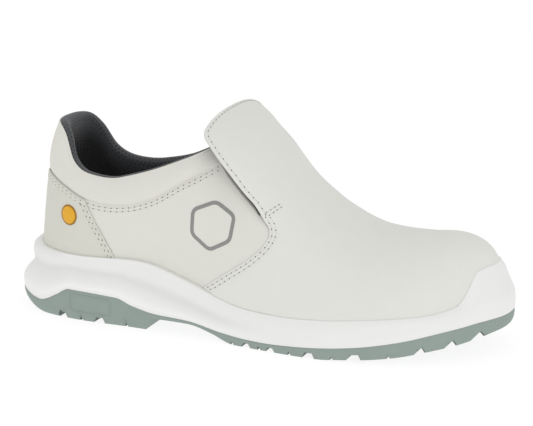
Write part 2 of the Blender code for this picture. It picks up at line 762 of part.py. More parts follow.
def smooth_line(points, steps):
    """A smooth line through table points, by distance along them."""
    table = np.array(points, float)
    length = np.concatenate([[0.0], np.cumsum(np.linalg.norm(np.diff(table, axis=0), axis=1))])
    places = np.linspace(0.0, length[-1], steps)
    return list(zip(monotone(length, table[:, 0], places), monotone(length, table[:, 1], places)))


def keep_inside(item, cutter):
    """Cut the item to the cutter's outline and drop the cutter."""
    change = item.modifiers.new("cut", "BOOLEAN")
    change.operation = "INTERSECT"
    change.solver = "EXACT"
    change.object = cutter
    bpy.context.view_layer.update()
    graph = bpy.context.evaluated_depsgraph_get()
    result = bpy.data.meshes.new_from_object(item.evaluated_get(graph))
    item.modifiers.clear()
    old = item.data
    item.data = result
    bpy.data.meshes.remove(old)
    bpy.data.objects.remove(cutter)
    tidy(item.data)


def sheet(name, place, c, rows, thickness, offset, ridge_closed):
    """A sheet of even thickness over the upper, before it is cut to its outline."""
    shape = Shape()
    faces_in = [shape.add(place(c, v, offset)) for v in rows]
    faces_out = [shape.add(place(c, v, offset + thickness)) for v in rows]
    close_sheet(shape, faces_in, faces_out, ridge_closed)
    return shape.make(name)


def close_sheet(shape, faces_in, faces_out, ridge_closed):
    """Join the two faces of a sheet and its edges."""
    for rows in (faces_in, faces_out):
        for one, two in zip(rows, rows[1:]):
            shape.band(one, two, False)
    shape.band(faces_in[0], faces_out[0], False)
    if not ridge_closed:
        shape.band(faces_in[-1], faces_out[-1], False)
    for end in (0, -1):
        shape.band([row[end] for row in faces_in], [row[end] for row in faces_out], False)


def build_vamp():
    first = STATION[7]
    one_side = upper_stations()
    one_side = one_side[one_side > first]
    c = np.concatenate([one_side, (LOOP - one_side[:-1])[::-1]])
    rows = overlay_rows(c, WALL_ROWS[0], None)
    item = sheet("vamp", flap_skin, c, rows, OVERLAY, VAMP_GAP, True)
    edge = smooth_line(VAMP_EDGE, 40)
    cutter = prism("vamp_cutter", [(-21.0, -20.0)] + edge + [(-19.0, 170.0), (230.0, 170.0), (230.0, -20.0)])
    keep_inside(item, cutter)
    return item


def build_counter():
    one_side = upper_stations()
    one_side = one_side[one_side < STATION[6]]
    c = np.concatenate([-one_side[:0:-1], one_side])
    rows = overlay_rows(c, WALL_ROWS[0], WALL_ROWS[0] + WALL_ROWS[1] + 1)
    item = sheet("counter", skin, c, rows, COUNTER_SKIN, SEAM_GAP, False)
    edge = smooth_line(COUNTER_EDGE, 20)
    cutter = prism("counter_cutter", [(-76.0, -20.0)] + edge + [(-230.0, 88.5), (-230.0, -20.0)])
    keep_inside(item, cutter)
    return item


def on_side(x, z, medial):
    """Place on the upper that shows at a given length and height from the side."""
    low = np.full(np.shape(x), STATION[4])
    high = np.full(np.shape(x), STATION[12])
    for _ in range(30):
        mid = (low + high) / 2
        c = LOOP - mid if medial else mid
        behind = surface(c, height_share(c, z))[..., 0] < x
        low = np.where(behind, mid, low)
        high = np.where(behind, high, mid)
    c = (low + high) / 2
    if medial:
        c = LOOP - c
    return c, height_share(c, z)


def build_gore(name, medial):
    shape = Shape()
    faces_in = []
    faces_out = []
    along = np.linspace(0.0, len(GORE_ROWS) - 1.0, 13)
    edges = {key: monotone(np.arange(len(GORE_ROWS)), GORE[key], along) for key in GORE_COLUMNS}
    for share in np.linspace(0.0, 1.0, 5):
        x = edges["x_low"] + (edges["x_high"] - edges["x_low"]) * share
        z = edges["z_low"] + (edges["z_high"] - edges["z_low"]) * share
        c, v = on_side(x * ALONG, z, medial)
        faces_in.append(shape.add(skin(c, v, GORE_GAP)))
        faces_out.append(shape.add(skin(c, v, GORE_GAP + GORE_SKIN)))
    close_sheet(shape, faces_in, faces_out, False)
    return shape.make(name)


def main():
    for item in list(bpy.data.objects):
        bpy.data.objects.remove(item)
    made = [build_outsole(), build_midsole(), build_upper(), build_vamp(), build_counter(),
            build_gore("gore_lateral", False), build_gore("gore_medial", True), build_insole()]
    for item in made:
        finish(item)


main()
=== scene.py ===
"""Looks of the white slip-on safety shoe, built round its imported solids.

X runs from heel to toe, Y to the inner (medial) side, Z up. Shapes are worked out in
millimetres from the same section tables as the solids, then made in metres.
"""
import json
import math

import bmesh
import bpy
import numpy as np
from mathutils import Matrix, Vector
from mathutils.bvhtree import BVHTree
from mathutils.kdtree import KDTree

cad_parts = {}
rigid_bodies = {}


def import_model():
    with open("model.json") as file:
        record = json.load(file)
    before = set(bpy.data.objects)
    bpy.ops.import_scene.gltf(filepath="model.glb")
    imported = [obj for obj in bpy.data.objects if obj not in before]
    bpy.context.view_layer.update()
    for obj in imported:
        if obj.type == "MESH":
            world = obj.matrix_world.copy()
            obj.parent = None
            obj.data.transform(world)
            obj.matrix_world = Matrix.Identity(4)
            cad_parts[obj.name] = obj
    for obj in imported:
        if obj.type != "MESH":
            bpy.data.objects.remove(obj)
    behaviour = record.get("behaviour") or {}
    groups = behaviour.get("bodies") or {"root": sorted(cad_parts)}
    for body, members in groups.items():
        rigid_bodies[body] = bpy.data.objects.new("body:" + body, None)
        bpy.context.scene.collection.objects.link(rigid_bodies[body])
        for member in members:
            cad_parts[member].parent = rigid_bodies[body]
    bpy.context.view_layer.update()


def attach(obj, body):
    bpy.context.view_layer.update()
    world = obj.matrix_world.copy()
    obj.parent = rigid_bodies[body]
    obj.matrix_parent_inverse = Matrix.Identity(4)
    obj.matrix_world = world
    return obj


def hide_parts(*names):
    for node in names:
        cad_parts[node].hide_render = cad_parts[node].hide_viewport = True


for item in list(bpy.data.objects):
    bpy.data.objects.remove(item)
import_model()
MM = 0.001

# Sizes, as in the solids apart from small fits to the photo
SEAM_GAP = 0.3
WALL = 2.0
COLLAR_PAD = 4.6
COLLAR_PUFF = 1.6
OVERLAY = 1.4
COUNTER_SKIN = 1.0
GORE_SKIN = 0.6
GORE_GAP = 0.6
VAMP_GAP = 0.6
FLAP_LIFT = 2.6
LIFT_FROM = 34.0
LIFT_OVER = 38.0
LIFT_LOW = 66.0
LIFT_RISE = 24.0
DIP_DEPTH = 3.6
DIP_AT = 3.5
DIP_WIDTH = 6.5
DIP_LOW = 71.0
DIP_RISE = 29.0
FLAP_FROM = 0.34
FLAP_OVER = 0.34
RUN_BLEND = 2.0
RIM_WIDTH = 2.2
INSOLE_THICKNESS = 4.0
INSOLE_CLEARANCE = 0.8
CUP_GAP = 0.5
OUTSOLE_CORE = 6.5
WING_WIDTH = 4.0
WING_SLOPE = 0.5
HIDDEN_GAP = 0.6
GROOVE_WIDTH = 5.6
GROOVE_WALL = 1.5
GROOVE_DEPTH = 3.0
GROOVE_SHARE = 0.5
CHANNEL_WIDTH = 4.0
END_CROWDING = 0.4
THROAT_ROW = 9
BISECT_ROUNDS = 30
ON_RIDGE = 0.999
AT_TOP = 0.9999
JOIN_REACH = 0.002
FLAT_REACH = 0.001

SECTION_COLUMNS = ("x", "lateral", "medial", "base_in", "rise", "lean", "run", "drop",
                   "top_x", "top_lateral", "top_medial", "top_z", "on_ridge", "seam", "tip")
SECTIONS = (
    (-150.0, 1.0, 1.0, 11.6, 34.0, -0.07, 7.0, 28.0, -125.6, 1.0, 1.0, 113.2, 0.0, 85.5, 0.0),
    (-147.7, -16.9, 18.9, 12.6, 34.0, -0.07, 7.0, 28.0, -122.8, -15.5, 17.5, 112.4, 0.0, 85.2, 0.8),
    (-138.3, -28.3, 30.8, 10.8, 32.0, -0.04, 6.6, 26.0, -115.5, -24.0, 26.0, 106.4, 0.0, 83.2, 2.1),
    (-122.0, -35.5, 37.5, 7.8, 28.0, 0.03, 5.8, 22.0, -108.0, -29.5, 30.5, 92.9, 0.0, 79.2, 1.2),
    (-102.0, -39.5, 40.0, 5.5, 26.0, 0.08, 5.0, 20.0, -95.0, -33.2, 33.4, 85.6, 0.0, 73.8, 1.6),
    (-78.0, -40.5, 39.5, 5.0, 26.0, 0.06, 5.0, 20.0, -74.0, -34.2, 34.0, 85.7, 0.0, 72.4, 1.6),
    (-54.0, -41.0, 37.5, 5.0, 26.0, 0.05, 5.0, 22.0, -52.0, -34.2, 33.2, 92.2, 0.0, 78.8, 2.1),
    (-30.0, -43.0, 36.5, 5.0, 30.0, 0.08, 7.0, 24.0, -32.0, -33.0, 32.0, 101.4, 0.0, 91.0, 1.2),
    (-6.0, -46.5, 37.5, 5.0, 36.0, 0.10, 16.0, 14.0, -16.5, -23.0, 23.0, 110.2, 0.0, 100.0, 0.4),
    (16.0, -50.0, 41.0, 5.0, 42.0, 0.08, 41.0, 0.0, -9.0, 4.0, 4.0, 119.0, 1.0, 107.0, 0.0),
    (40.0, -53.0, 46.5, 5.0, 34.0, 0.08, 35.0, 0.0, 28.0, 4.0, 4.0, 88.0, 1.0, 80.0, 0.0),
    (65.0, -53.5, 50.5, 5.0, 24.0, 0.10, 34.0, 0.0, 58.0, 3.5, 3.5, 68.3, 1.0, 60.0, 0.0),
    (90.0, -49.5, 51.0, 5.5, 20.0, 0.10, 31.0, 0.0, 80.0, 3.0, 3.0, 62.7, 1.0, 58.0, 0.0),
    (111.0, -42.0, 47.0, 6.0, 20.0, 0.10, 28.0, 0.0, 95.0, 3.0, 3.0, 62.2, 1.0, 58.0, 0.0),
    (129.0, -30.0, 38.5, 7.0, 20.5, 0.10, 27.0, 0.0, 105.0, 3.3, 3.3, 62.7, 1.0, 58.0, 0.0),
    (142.0, -15.0, 27.0, 8.0, 22.0, 0.08, 26.5, 0.0, 110.0, 3.6, 3.6, 63.0, 1.0, 58.0, 0.0),
    (148.5, -3.5, 17.0, 8.7, 23.0, 0.07, 26.0, 0.0, 112.5, 3.8, 3.8, 63.2, 1.0, 58.0, 0.0),
    (150.0, 7.0, 7.0, 9.0, 23.0, 0.07, 25.5, 0.0, 114.0, 3.95, 3.95, 63.2, 1.0, 58.0, 0.0),
)
SOLE_COLUMNS = ("floor", "feather", "crease_level", "low", "flare", "crease", "bead", "shoulder", "tread_in")
SOLE_ROWS = (
    (26.0, 41.4, 0.63, 0.3, 0.0, 7.6, 7.1, 8.1, 3.6),
    (26.0, 41.2, 0.63, 0.3, 0.0, 7.4, 6.8, 7.7, 3.4),
    (26.0, 40.2, 0.60, 0.4, 0.0, 5.8, 4.9, 5.7, 3.2),
    (26.0, 39.7, 0.55, 0.5, 0.0, 4.0, 2.6, 3.4, 4.0),
    (26.0, 40.0, 0.48, 0.4, 0.0, 3.2, 1.9, 2.3, 4.0),
    (26.0, 41.0, 0.46, 0.4, 0.0, 2.8, 1.2, 1.7, 4.0),
    (25.5, 40.0, 0.42, 0.6, 0.0, 2.4, 1.0, 1.6, 3.0),
    (23.5, 33.0, 0.34, 1.0, 0.2, 1.6, 0.6, 1.4, 1.8),
    (19.5, 25.0, 0.34, 1.2, 0.4, 0.5, 0.2, 1.4, 1.8),
    (15.5, 21.8, 0.40, 1.0, 0.2, 0.0, 0.4, 1.6, 1.6),
    (13.5, 21.6, 0.45, 1.0, 0.2, 0.0, 0.5, 1.7, 1.6),
    (14.0, 23.0, 0.45, 1.0, 0.2, 0.0, 0.6, 1.8, 1.6),
    (16.0, 25.0, 0.45, 1.0, 0.2, 0.0, 0.8, 2.0, 1.8),
    (18.5, 27.0, 0.45, 1.0, 0.2, 0.0, 1.0, 2.4, 2.0),
    (21.0, 31.2, 0.45, 1.0, 0.1, 0.0, 1.6, 3.4, 2.0),
    (23.0, 48.6, 0.38, 0.4, 0.0, 0.2, 3.5, 6.1, 1.8),
    (24.0, 50.0, 0.36, 0.3, 0.0, 0.4, 4.0, 6.7, 1.6),
    (24.0, 50.2, 0.36, 0.3, 0.0, 0.4, 4.2, 7.0, 1.6),
)
GREY_LINE = ((-150.0, 13.4), (-146.0, 12.7), (-139.5, 10.9), (-133.5, 9.5), (-129.0, 9.0), (-125.0, 10.0),
             (-117.0, 14.0), (-107.0, 19.0),
             (-76.0, 17.7), (-66.0, 14.0), (-50.0, 10.6), (-30.0, 9.6), (-7.0, 6.0), (8.0, 4.8),
             (19.0, 4.6), (38.0, 5.4), (74.0, 8.8), (101.0, 13.4), (121.0, 18.1), (131.0, 20.1),
             (139.0, 21.8), (150.0, 23.0))
GROUND_LINE = ((-150.0, 8.6), (-146.0, 6.2), (-139.5, 3.0), (-133.0, 1.0), (-127.0, 0.1), (-122.0, 0.0),
               (-58.0, 0.0), (-53.0, 7.0), (-30.0, 7.6),
               (-13.0, 4.0), (-6.0, 1.4), (0.0, 0.0), (54.0, 0.0), (66.0, 1.0), (81.0, 2.1),
               (99.0, 4.2), (113.0, 6.9), (121.0, 8.4), (129.0, 9.9), (139.0, 12.4),
               (146.0, 14.4), (150.0, 15.4))
GROOVES = (-114.0, -88.5, 8.8, 24.5, 48.5, 75.3, 111.0, 126.3, 138.4)
CHANNELS = (0.32, 0.68)
SOLE_BREAKS = (-126.0, -117.0, -58.0, -53.0)
RIDGE_LINE = ((-45.0, 133.0), (-22.0, 124.9), (-9.0, 119.4), (1.0, 110.9), (11.0, 101.4), (23.0, 90.7),
              (36.0, 81.0), (48.0, 72.9), (60.0, 67.0), (72.0, 63.7), (87.0, 62.6), (99.0, 62.8),
              (112.0, 63.9), (125.0, 63.9))
FLAP_TOP_ROWS = ((7, -36.0, 108.0), (8, -21.0, 90.0), (9, -9.0, 60.0))
VAMP_EDGE = ((-21.0, 29.9), (-14.7, 34.4), (-3.2, 42.6), (9.3, 51.6), (18.6, 61.0), (20.8, 66.0),
             (20.0, 69.6), (17.2, 73.4), (14.6, 77.4), (11.4, 82.0), (6.2, 88.0), (-4.7, 100.8),
             (-15.5, 113.2), (-19.8, 118.2), (-21.4, 121.7), (-21.2, 125.0), (-20.3, 128.5))
COUNTER_EDGE = ((-76.0, 34.0), (-78.0, 41.0), (-83.6, 51.5), (-90.0, 62.0), (-98.0, 76.0), (-102.0, 84.0))
GORE_COLUMNS = ("x_low", "z_low", "x_high", "z_high")
# The gore reaches a little past the flap's edge, so its dark elastic also shows as painted shadow in the gap
GORE_ROWS = (
    (13.4, 75.6, 14.4, 77.4),
    (9.9, 79.6, 12.6, 81.8),
    (5.7, 83.5, 10.5, 86.5),
    (-1.4, 89.5, 6.0, 94.5),
    (-9.6, 97.0, -1.0, 102.5),
    (-14.0, 102.4, -8.5, 106.6),
    (-15.4, 105.0, -12.0, 108.2),
)


def columns(names, rows):
    return {name: np.array([row[i] for row in rows], float) for i, name in enumerate(names)}


def run_length(points):
    """Distance of each point along a line of points."""
    return np.concatenate([[0.0], np.cumsum(np.linalg.norm(np.diff(points, axis=0), axis=1))])


def bisect(test, low, high):
    """Where a rising test passes zero between two limits."""
    for _ in range(BISECT_ROUNDS):
        middle = (low + high) / 2
        below = test(middle) < 0
        low = np.where(below, middle, low)
        high = np.where(below, high, middle)
    return (low + high) / 2


SECTION = columns(SECTION_COLUMNS, SECTIONS)
SOLE = columns(SOLE_COLUMNS, SOLE_ROWS)
GORE = columns(GORE_COLUMNS, GORE_ROWS)
MIDDLE_Y = (SECTION["lateral"].min() + SECTION["medial"].max()) / 2
for key in ("lateral", "medial", "top_lateral", "top_medial"):
    SECTION[key] = SECTION[key] - MIDDLE_Y


def smooth_step(t):
    t = np.clip(t, 0.0, 1.0)
    return t * t * (3 - 2 * t)


def hermite(values, tangent, i, t, h):
    return ((1 + 2 * t) * (1 - t) ** 2 * values[i] + t * (1 - t) ** 2 * h * tangent[i]
            + t * t * (3 - 2 * t) * values[i + 1] + t * t * (t - 1) * h * tangent[i + 1])


def monotone(knots, values, at):
    """A smooth curve through table values that does not overshoot them."""
    knots = np.asarray(knots, float)
    values = np.asarray(values, float)
    step = np.diff(knots)
    slope = np.diff(values) / step
    tangent = np.zeros(len(knots))
    tangent[0] = slope[0]
    tangent[-1] = slope[-1]
    before = slope[:-1]
    after = slope[1:]
    same = before * after > 0
    total = np.where(same, before + after, 1.0)
    tangent[1:-1] = np.where(same, 2 * before * after / total, 0.0)
    at = np.clip(np.asarray(at, float), knots[0], knots[-1])
    i = np.clip(np.searchsorted(knots, at, side="right") - 1, 0, len(step) - 1)
    return hermite(values, tangent, i, (at - knots[i]) / step[i], step[i])


def flowing(knots, values, at):
    """A rounder curve through table values, each bend set by its near neighbours."""
    step = np.diff(knots)
    slope = np.diff(values) / step
    before = slope[1:-2]
    after = slope[2:-1]
    weight_before = abs(slope[3:] - after) + 1e-9
    weight_after = abs(before - slope[:-3]) + 1e-9
    tangent = np.zeros(len(knots))
    tangent[2:-2] = (weight_before * before + weight_after * after) / (weight_before + weight_after)
    i = np.clip(np.searchsorted(knots, at, side="right") - 1, 2, len(step) - 3)
    return hermite(values, tangent, i, (at - knots[i]) / step[i], step[i])


def station_lengths():
    """Distance of each section along the outline, the mean of both sides."""
    dx = np.diff(SECTION["x"])
    lateral = np.hypot(dx, np.diff(SECTION["lateral"]))
    medial = np.hypot(dx, np.diff(SECTION["medial"]))
    return np.concatenate([[0.0], np.cumsum((lateral + medial) / 2)])


STATION = station_lengths()
END = STATION[-1]
LOOP = 2 * END
LOOP_KNOTS = np.concatenate([STATION, (LOOP - STATION[1:-1])[::-1]])


def round_values(lateral, medial):
    return np.concatenate([lateral, medial[1:-1][::-1]])


def around(lateral, medial, c):
    """A table column taken round the shoe: heel, lateral side, toe, medial side."""
    values = round_values(lateral, medial)
    pad = 4
    knots = np.concatenate([LOOP_KNOTS[-pad:] - LOOP, LOOP_KNOTS, LOOP_KNOTS[:pad] + LOOP])
    values = np.concatenate([values[-pad:], values, values[:pad]])
    return flowing(knots, values, np.mod(c, LOOP))


def both(table, name, c):
    return around(table[name], table[name], c)


def closed_spline(values):
    """Second derivatives of a smooth closed curve through the loop's knots."""
    n = len(LOOP_KNOTS)
    step = np.diff(np.append(LOOP_KNOTS, LOOP))
    matrix = np.zeros((n, n))
    right = np.zeros(n)
    for i in range(n):
        h0 = step[i - 1]
        h1 = step[i]
        matrix[i, i - 1] += h0
        matrix[i, i] += 2 * (h0 + h1)
        matrix[i, (i + 1) % n] += h1
        right[i] = 6 * ((values[(i + 1) % n] - values[i]) / h1 - (values[i] - values[i - 1]) / h0)
    return np.linalg.solve(matrix, right)


PLAN_X = round_values(SECTION["x"], SECTION["x"])
PLAN_Y = round_values(SECTION["lateral"], SECTION["medial"])
BEND_X = closed_spline(PLAN_X)
BEND_Y = closed_spline(PLAN_Y)


def loop_curve(values, bends, c):
    n = len(LOOP_KNOTS)
    c = np.mod(np.asarray(c, float), LOOP)
    ends = np.append(LOOP_KNOTS, LOOP)
    i = np.clip(np.searchsorted(ends, c, side="right") - 1, 0, n - 1)
    j = (i + 1) % n
    h = ends[i + 1] - ends[i]
    a = (ends[i + 1] - c) / h
    b = 1 - a
    return (a * values[i] + b * values[j]
            + ((a ** 3 - a) * bends[i] + (b ** 3 - b) * bends[j]) * h * h / 6)


def outline(c):
    return loop_curve(PLAN_X, BEND_X, c), loop_curve(PLAN_Y, BEND_Y, c)


def outward(c):
    """Unit normal of the plan outline, pointing out of the shoe."""
    small = 0.05
    x1, y1 = outline(np.asarray(c) + small)
    x0, y0 = outline(np.asarray(c) - small)
    length = np.hypot(x1 - x0, y1 - y0)
    return (y1 - y0) / length, -(x1 - x0) / length


def ring_inside(c, inset, z):
    """Points at a distance inside the plan outline, at given heights."""
    x, y = outline(c)
    nx, ny = outward(c)
    return np.stack([x - inset * nx, y - inset * ny, z], -1)


def line(table, x):
    return monotone([row[0] for row in table], [row[1] for row in table], x)


def in_front(points, table):
    """How far points lie in front of an edge that is drawn in the side view."""
    return points[..., 0] - line([row[::-1] for row in table], points[..., 2])


def ridge_slope(x):
    half = 0.5
    return (line(RIDGE_LINE, x + half) - line(RIDGE_LINE, x - half)) / (2 * half)


def tops(c, flap):
    """Where each rib ends: on the collar, on the ridge, or on the flap's own ridge."""
    top_x = SECTION["top_x"].copy()
    top_lateral = SECTION["top_lateral"].copy()
    top_medial = SECTION["top_medial"].copy()
    ridge = SECTION["on_ridge"].copy()
    if flap:
        for row, x, _ in FLAP_TOP_ROWS:
            top_x[row] = x
            top_lateral[row] = SECTION["top_lateral"][THROAT_ROW]
            top_medial[row] = SECTION["top_medial"][THROAT_ROW]
            ridge[row] = 1.0
    middle = (top_lateral + top_medial) / 2
    middle[:THROAT_ROW] = middle[THROAT_ROW]
    x = around(top_x, top_x, c)
    share = around(ridge, ridge, c)
    y = np.where(share > ON_RIDGE, around(middle, middle, c), around(top_lateral, top_medial, c))
    share = np.clip(share, 0.0, 1.0)
    collar = around(SECTION["top_z"] + SECTION["tip"], SECTION["top_z"] - SECTION["tip"], c)
    z = collar * (1 - share) + line(RIDGE_LINE, x) * share
    return x, y, z, share


def ribs(c, flap):
    """Four control points for each rib, from the feather of the sole to its top."""
    nx, ny = outward(c)
    base = ring_inside(c, both(SECTION, "base_in", c), both(SOLE, "floor", c) + SEAM_GAP)
    rise = both(SECTION, "rise", c)
    lean = both(SECTION, "lean", c) * rise
    low = base + np.stack([lean * nx, lean * ny, rise], -1)
    tx, ty, tz, share = tops(c, flap)
    head = np.stack([tx, ty, tz], -1)
    run = both(SECTION, "run", c)
    drop = SECTION["drop"].copy()
    if flap:
        wide = SECTION["run"].copy()
        for row, _, flap_run in FLAP_TOP_ROWS:
            wide[row] = flap_run
            drop[row] = 0.0
        more = around(wide, wide, c) - run
        run = run + (more + np.hypot(more, RUN_BLEND)) / 2
    drop = around(drop, drop, c)
    high = head + np.stack([run * nx, run * ny, share * run * nx * ridge_slope(tx) - drop], -1)
    return base, low, high, head


def c_station(c):
    c = np.mod(np.asarray(c, float), LOOP)
    return np.minimum(c, LOOP - c)


def bezier(points, v):
    base, low, high, head = points
    v = np.asarray(v, float)[..., None]
    u = 1 - v
    return base * u ** 3 + low * (3 * u * u * v) + high * (3 * u * v * v) + head * v ** 3


def rib_sets(c, flap):
    """The upper's ribs, and for the flap its own ribs too."""
    c = np.asarray(c, float)
    return [ribs(c, False), ribs(c, True)] if flap else [ribs(c, False)]


def on_ribs(sets, v):
    """Points on the ribs; the flap leaves the upper's ribs gradually on its way up."""
    points = bezier(sets[0], v)
    if len(sets) > 1:
        share = smooth_step((np.asarray(v, float) - FLAP_FROM) / FLAP_OVER)[..., None]
        points = points + (bezier(sets[1], v) - points) * share
    return points


def surface(c, v, flap=False):
    return on_ribs(rib_sets(c, flap), v)


def normals(c, v, flap=False):
    c = np.asarray(c, float)
    v = np.asarray(v, float)
    small_c = 0.4
    small_v = 0.004
    along = surface(c + small_c, v, flap) - surface(c - small_c, v, flap)
    up = surface(c, np.minimum(v + small_v, 1.0), flap) - surface(c, np.maximum(v - small_v, 0.0), flap)
    found = np.cross(along, up)
    tx, ty, tz, share = tops(c, flap)
    slope = ridge_slope(tx)
    on_top = (share > ON_RIDGE) & (v > AT_TOP)
    ridge = np.stack([-slope, 0 * slope, 1 + 0 * slope], -1)
    found = np.where(on_top[..., None], ridge, found)
    return found / np.linalg.norm(found, axis=-1)[..., None]


def height_share(c, z, flap=False):
    """Share of each rib at which it reaches a given height."""
    sets = rib_sets(c, flap)
    return bisect(lambda v: on_ribs(sets, v)[..., 2] - z, np.zeros(np.shape(c)), np.ones(np.shape(c)))


def collar_share(c):
    """One along the collar, fading out towards the throat."""
    return 1 - smooth_step((c_station(c) - STATION[7]) / (STATION[9] - STATION[7]))


def bump_at(distance, centre, width):
    return np.exp(-((distance - centre) / width) ** 2)


# Relief of the surfaces
STITCH_SINK = 0.16
ROW_WIDTH = 0.55
SEAM_GROOVE = 0.55
SEAM_WIDTH = 0.75
PUFF_POWER = 0.8
PUFF_LEAST = 0.02
COLLAR_ROWS = (-1.5, -3.5)
VAMP_STITCH = (1.5, 3.6)
FLAP_STITCH = 2.1
COUNTER_STITCH = (1.5, 3.4)
COUNTER_HEIGHT = COUNTER_SKIN - 0.1
LEATHER = 0.9
RIM_COVER = 34.0
EDGE_ROUND = 0.7

LOOP_COUNT = 1601
SHARE_STEP = 0.01
LOOP_GRID = np.linspace(0.0, LOOP, LOOP_COUNT)
FEATHER_V = height_share(LOOP_GRID, both(SOLE, "feather", LOOP_GRID))
FLAP_FEATHER_V = height_share(LOOP_GRID, both(SOLE, "feather", LOOP_GRID), True)
SEAM_V = height_share(LOOP_GRID, both(SECTION, "seam", LOOP_GRID))
SEAM_STEP = surface(LOOP_GRID, SEAM_V + SHARE_STEP) - surface(LOOP_GRID, SEAM_V - SHARE_STEP)
SEAM_REACH = np.linalg.norm(SEAM_STEP, axis=-1) / (2 * SHARE_STEP)


def at_loop(table, c):
    return np.interp(np.mod(c, LOOP), LOOP_GRID, table)


def puff(c, v):
    """The padded collar band stands out between its seam and the rim."""
    seam = at_loop(SEAM_V, c)
    t = np.clip((v - seam) / np.maximum(1 - seam, PUFF_LEAST), 0.0, 1.0)
    return COLLAR_PUFF * np.sin(np.pi * t ** PUFF_POWER) ** PUFF_POWER * collar_share(c)


def collar_relief(c, v):
    """The sewn line under the collar: a narrow groove and two sunk rows below it."""
    d = (v - at_loop(SEAM_V, c)) * at_loop(SEAM_REACH, c)
    sunk = SEAM_GROOVE * bump_at(d, 0.0, SEAM_WIDTH)
    for row in COLLAR_ROWS:
        sunk = sunk + STITCH_SINK * bump_at(d, row, ROW_WIDTH)
    return -sunk * collar_share(c)


def dip(points):
    """How far the quarters sink beside and under the flap's edge."""
    under = bump_at(in_front(points, VAMP_EDGE), DIP_AT, DIP_WIDTH)
    return DIP_DEPTH * under * smooth_step((points[..., 2] - DIP_LOW) / DIP_RISE)


# Creases: middle, direction, half length, width, and height, below zero for a trough
CREASE_COLUMNS = ("x", "y", "z", "dx", "dy", "dz", "reach", "width", "height")
CREASE_ROWS = (
    (-25.0, -34.0, 96.0, 0.80, 0.10, 0.60, 13.0, 3.4, -0.7),
    (-30.0, -35.0, 100.0, 0.85, 0.10, 0.50, 14.0, 3.0, 0.6),
    (-8.0, -37.0, 88.0, 0.55, 0.10, -0.80, 16.0, 5.0, -0.8),
    (44.0, -20.0, 72.0, 0.25, 0.90, 0.30, 24.0, 7.0, -0.6),
    (58.0, -20.0, 64.0, 0.20, 0.95, 0.20, 26.0, 7.0, -0.4),
    (40.0, 28.0, 72.0, 0.25, -0.90, 0.30, 22.0, 7.0, -0.5),
    (-96.0, -35.0, 80.0, 0.95, 0.10, -0.20, 16.0, 4.0, -0.5),
    (-70.0, -37.0, 84.0, 0.98, 0.00, 0.15, 20.0, 3.6, 0.4),
    (-20.0, 34.0, 94.0, 0.70, -0.10, 0.70, 15.0, 4.0, -0.7),
    (-14.5, 39.0, 119.6, -0.37, 0.93, 0.0, 13.0, 6.5, 1.2),
    (-1.0, 33.0, 113.0, -0.37, 0.93, 0.0, 15.0, 7.0, -0.9),
)
CREASE = columns(CREASE_COLUMNS, CREASE_ROWS)


def creases(points):
    """Soft troughs and ridges along short lines in the shoe's own sizes."""
    total = np.zeros(points.shape[:-1])
    for i in range(len(CREASE_ROWS)):
        away = points - np.array([CREASE[key][i] for key in ("x", "y", "z")])
        line_at = np.array([CREASE[key][i] for key in ("dx", "dy", "dz")])
        line_at = line_at / np.linalg.norm(line_at)
        along = away @ line_at
        across = np.sqrt(np.maximum((away * away).sum(-1) - along ** 2, 0.0))
        fade = np.exp(-(along / CREASE["reach"][i]) ** 4)
        total = total + CREASE["height"][i] * bump_at(across, 0.0, CREASE["width"][i]) * fade
    return total


def lift(points):
    """How far the flap stands off the quarters: none at its sewn lower edge."""
    back = smooth_step((LIFT_FROM - points[..., 0]) / LIFT_OVER)
    return FLAP_LIFT * back * smooth_step((points[..., 2] - LIFT_LOW) / LIFT_RISE)


def skin(c, v, offset, flap=False):
    """The outer face of the upper or of the flap, moved out along its normal."""
    c = np.asarray(c, float)
    v = np.broadcast_to(np.asarray(v, float), c.shape)
    start = surface(c, v, flap)
    move = lift(start) + offset if flap else puff(c, v) + offset - dip(start) + creases(start)
    return start + normals(c, v, flap) * move[..., None]


def side_stations(count):
    """Stations along one side, from heel centre to toe centre, closer at both ends."""
    t = np.linspace(0.0, 1.0, count + 1)
    return END * (t - END_CROWDING * np.sin(2 * np.pi * t) / (2 * np.pi))


def loop_stations(one_side):
    return np.concatenate([one_side, (LOOP - one_side[1:-1])[::-1]])


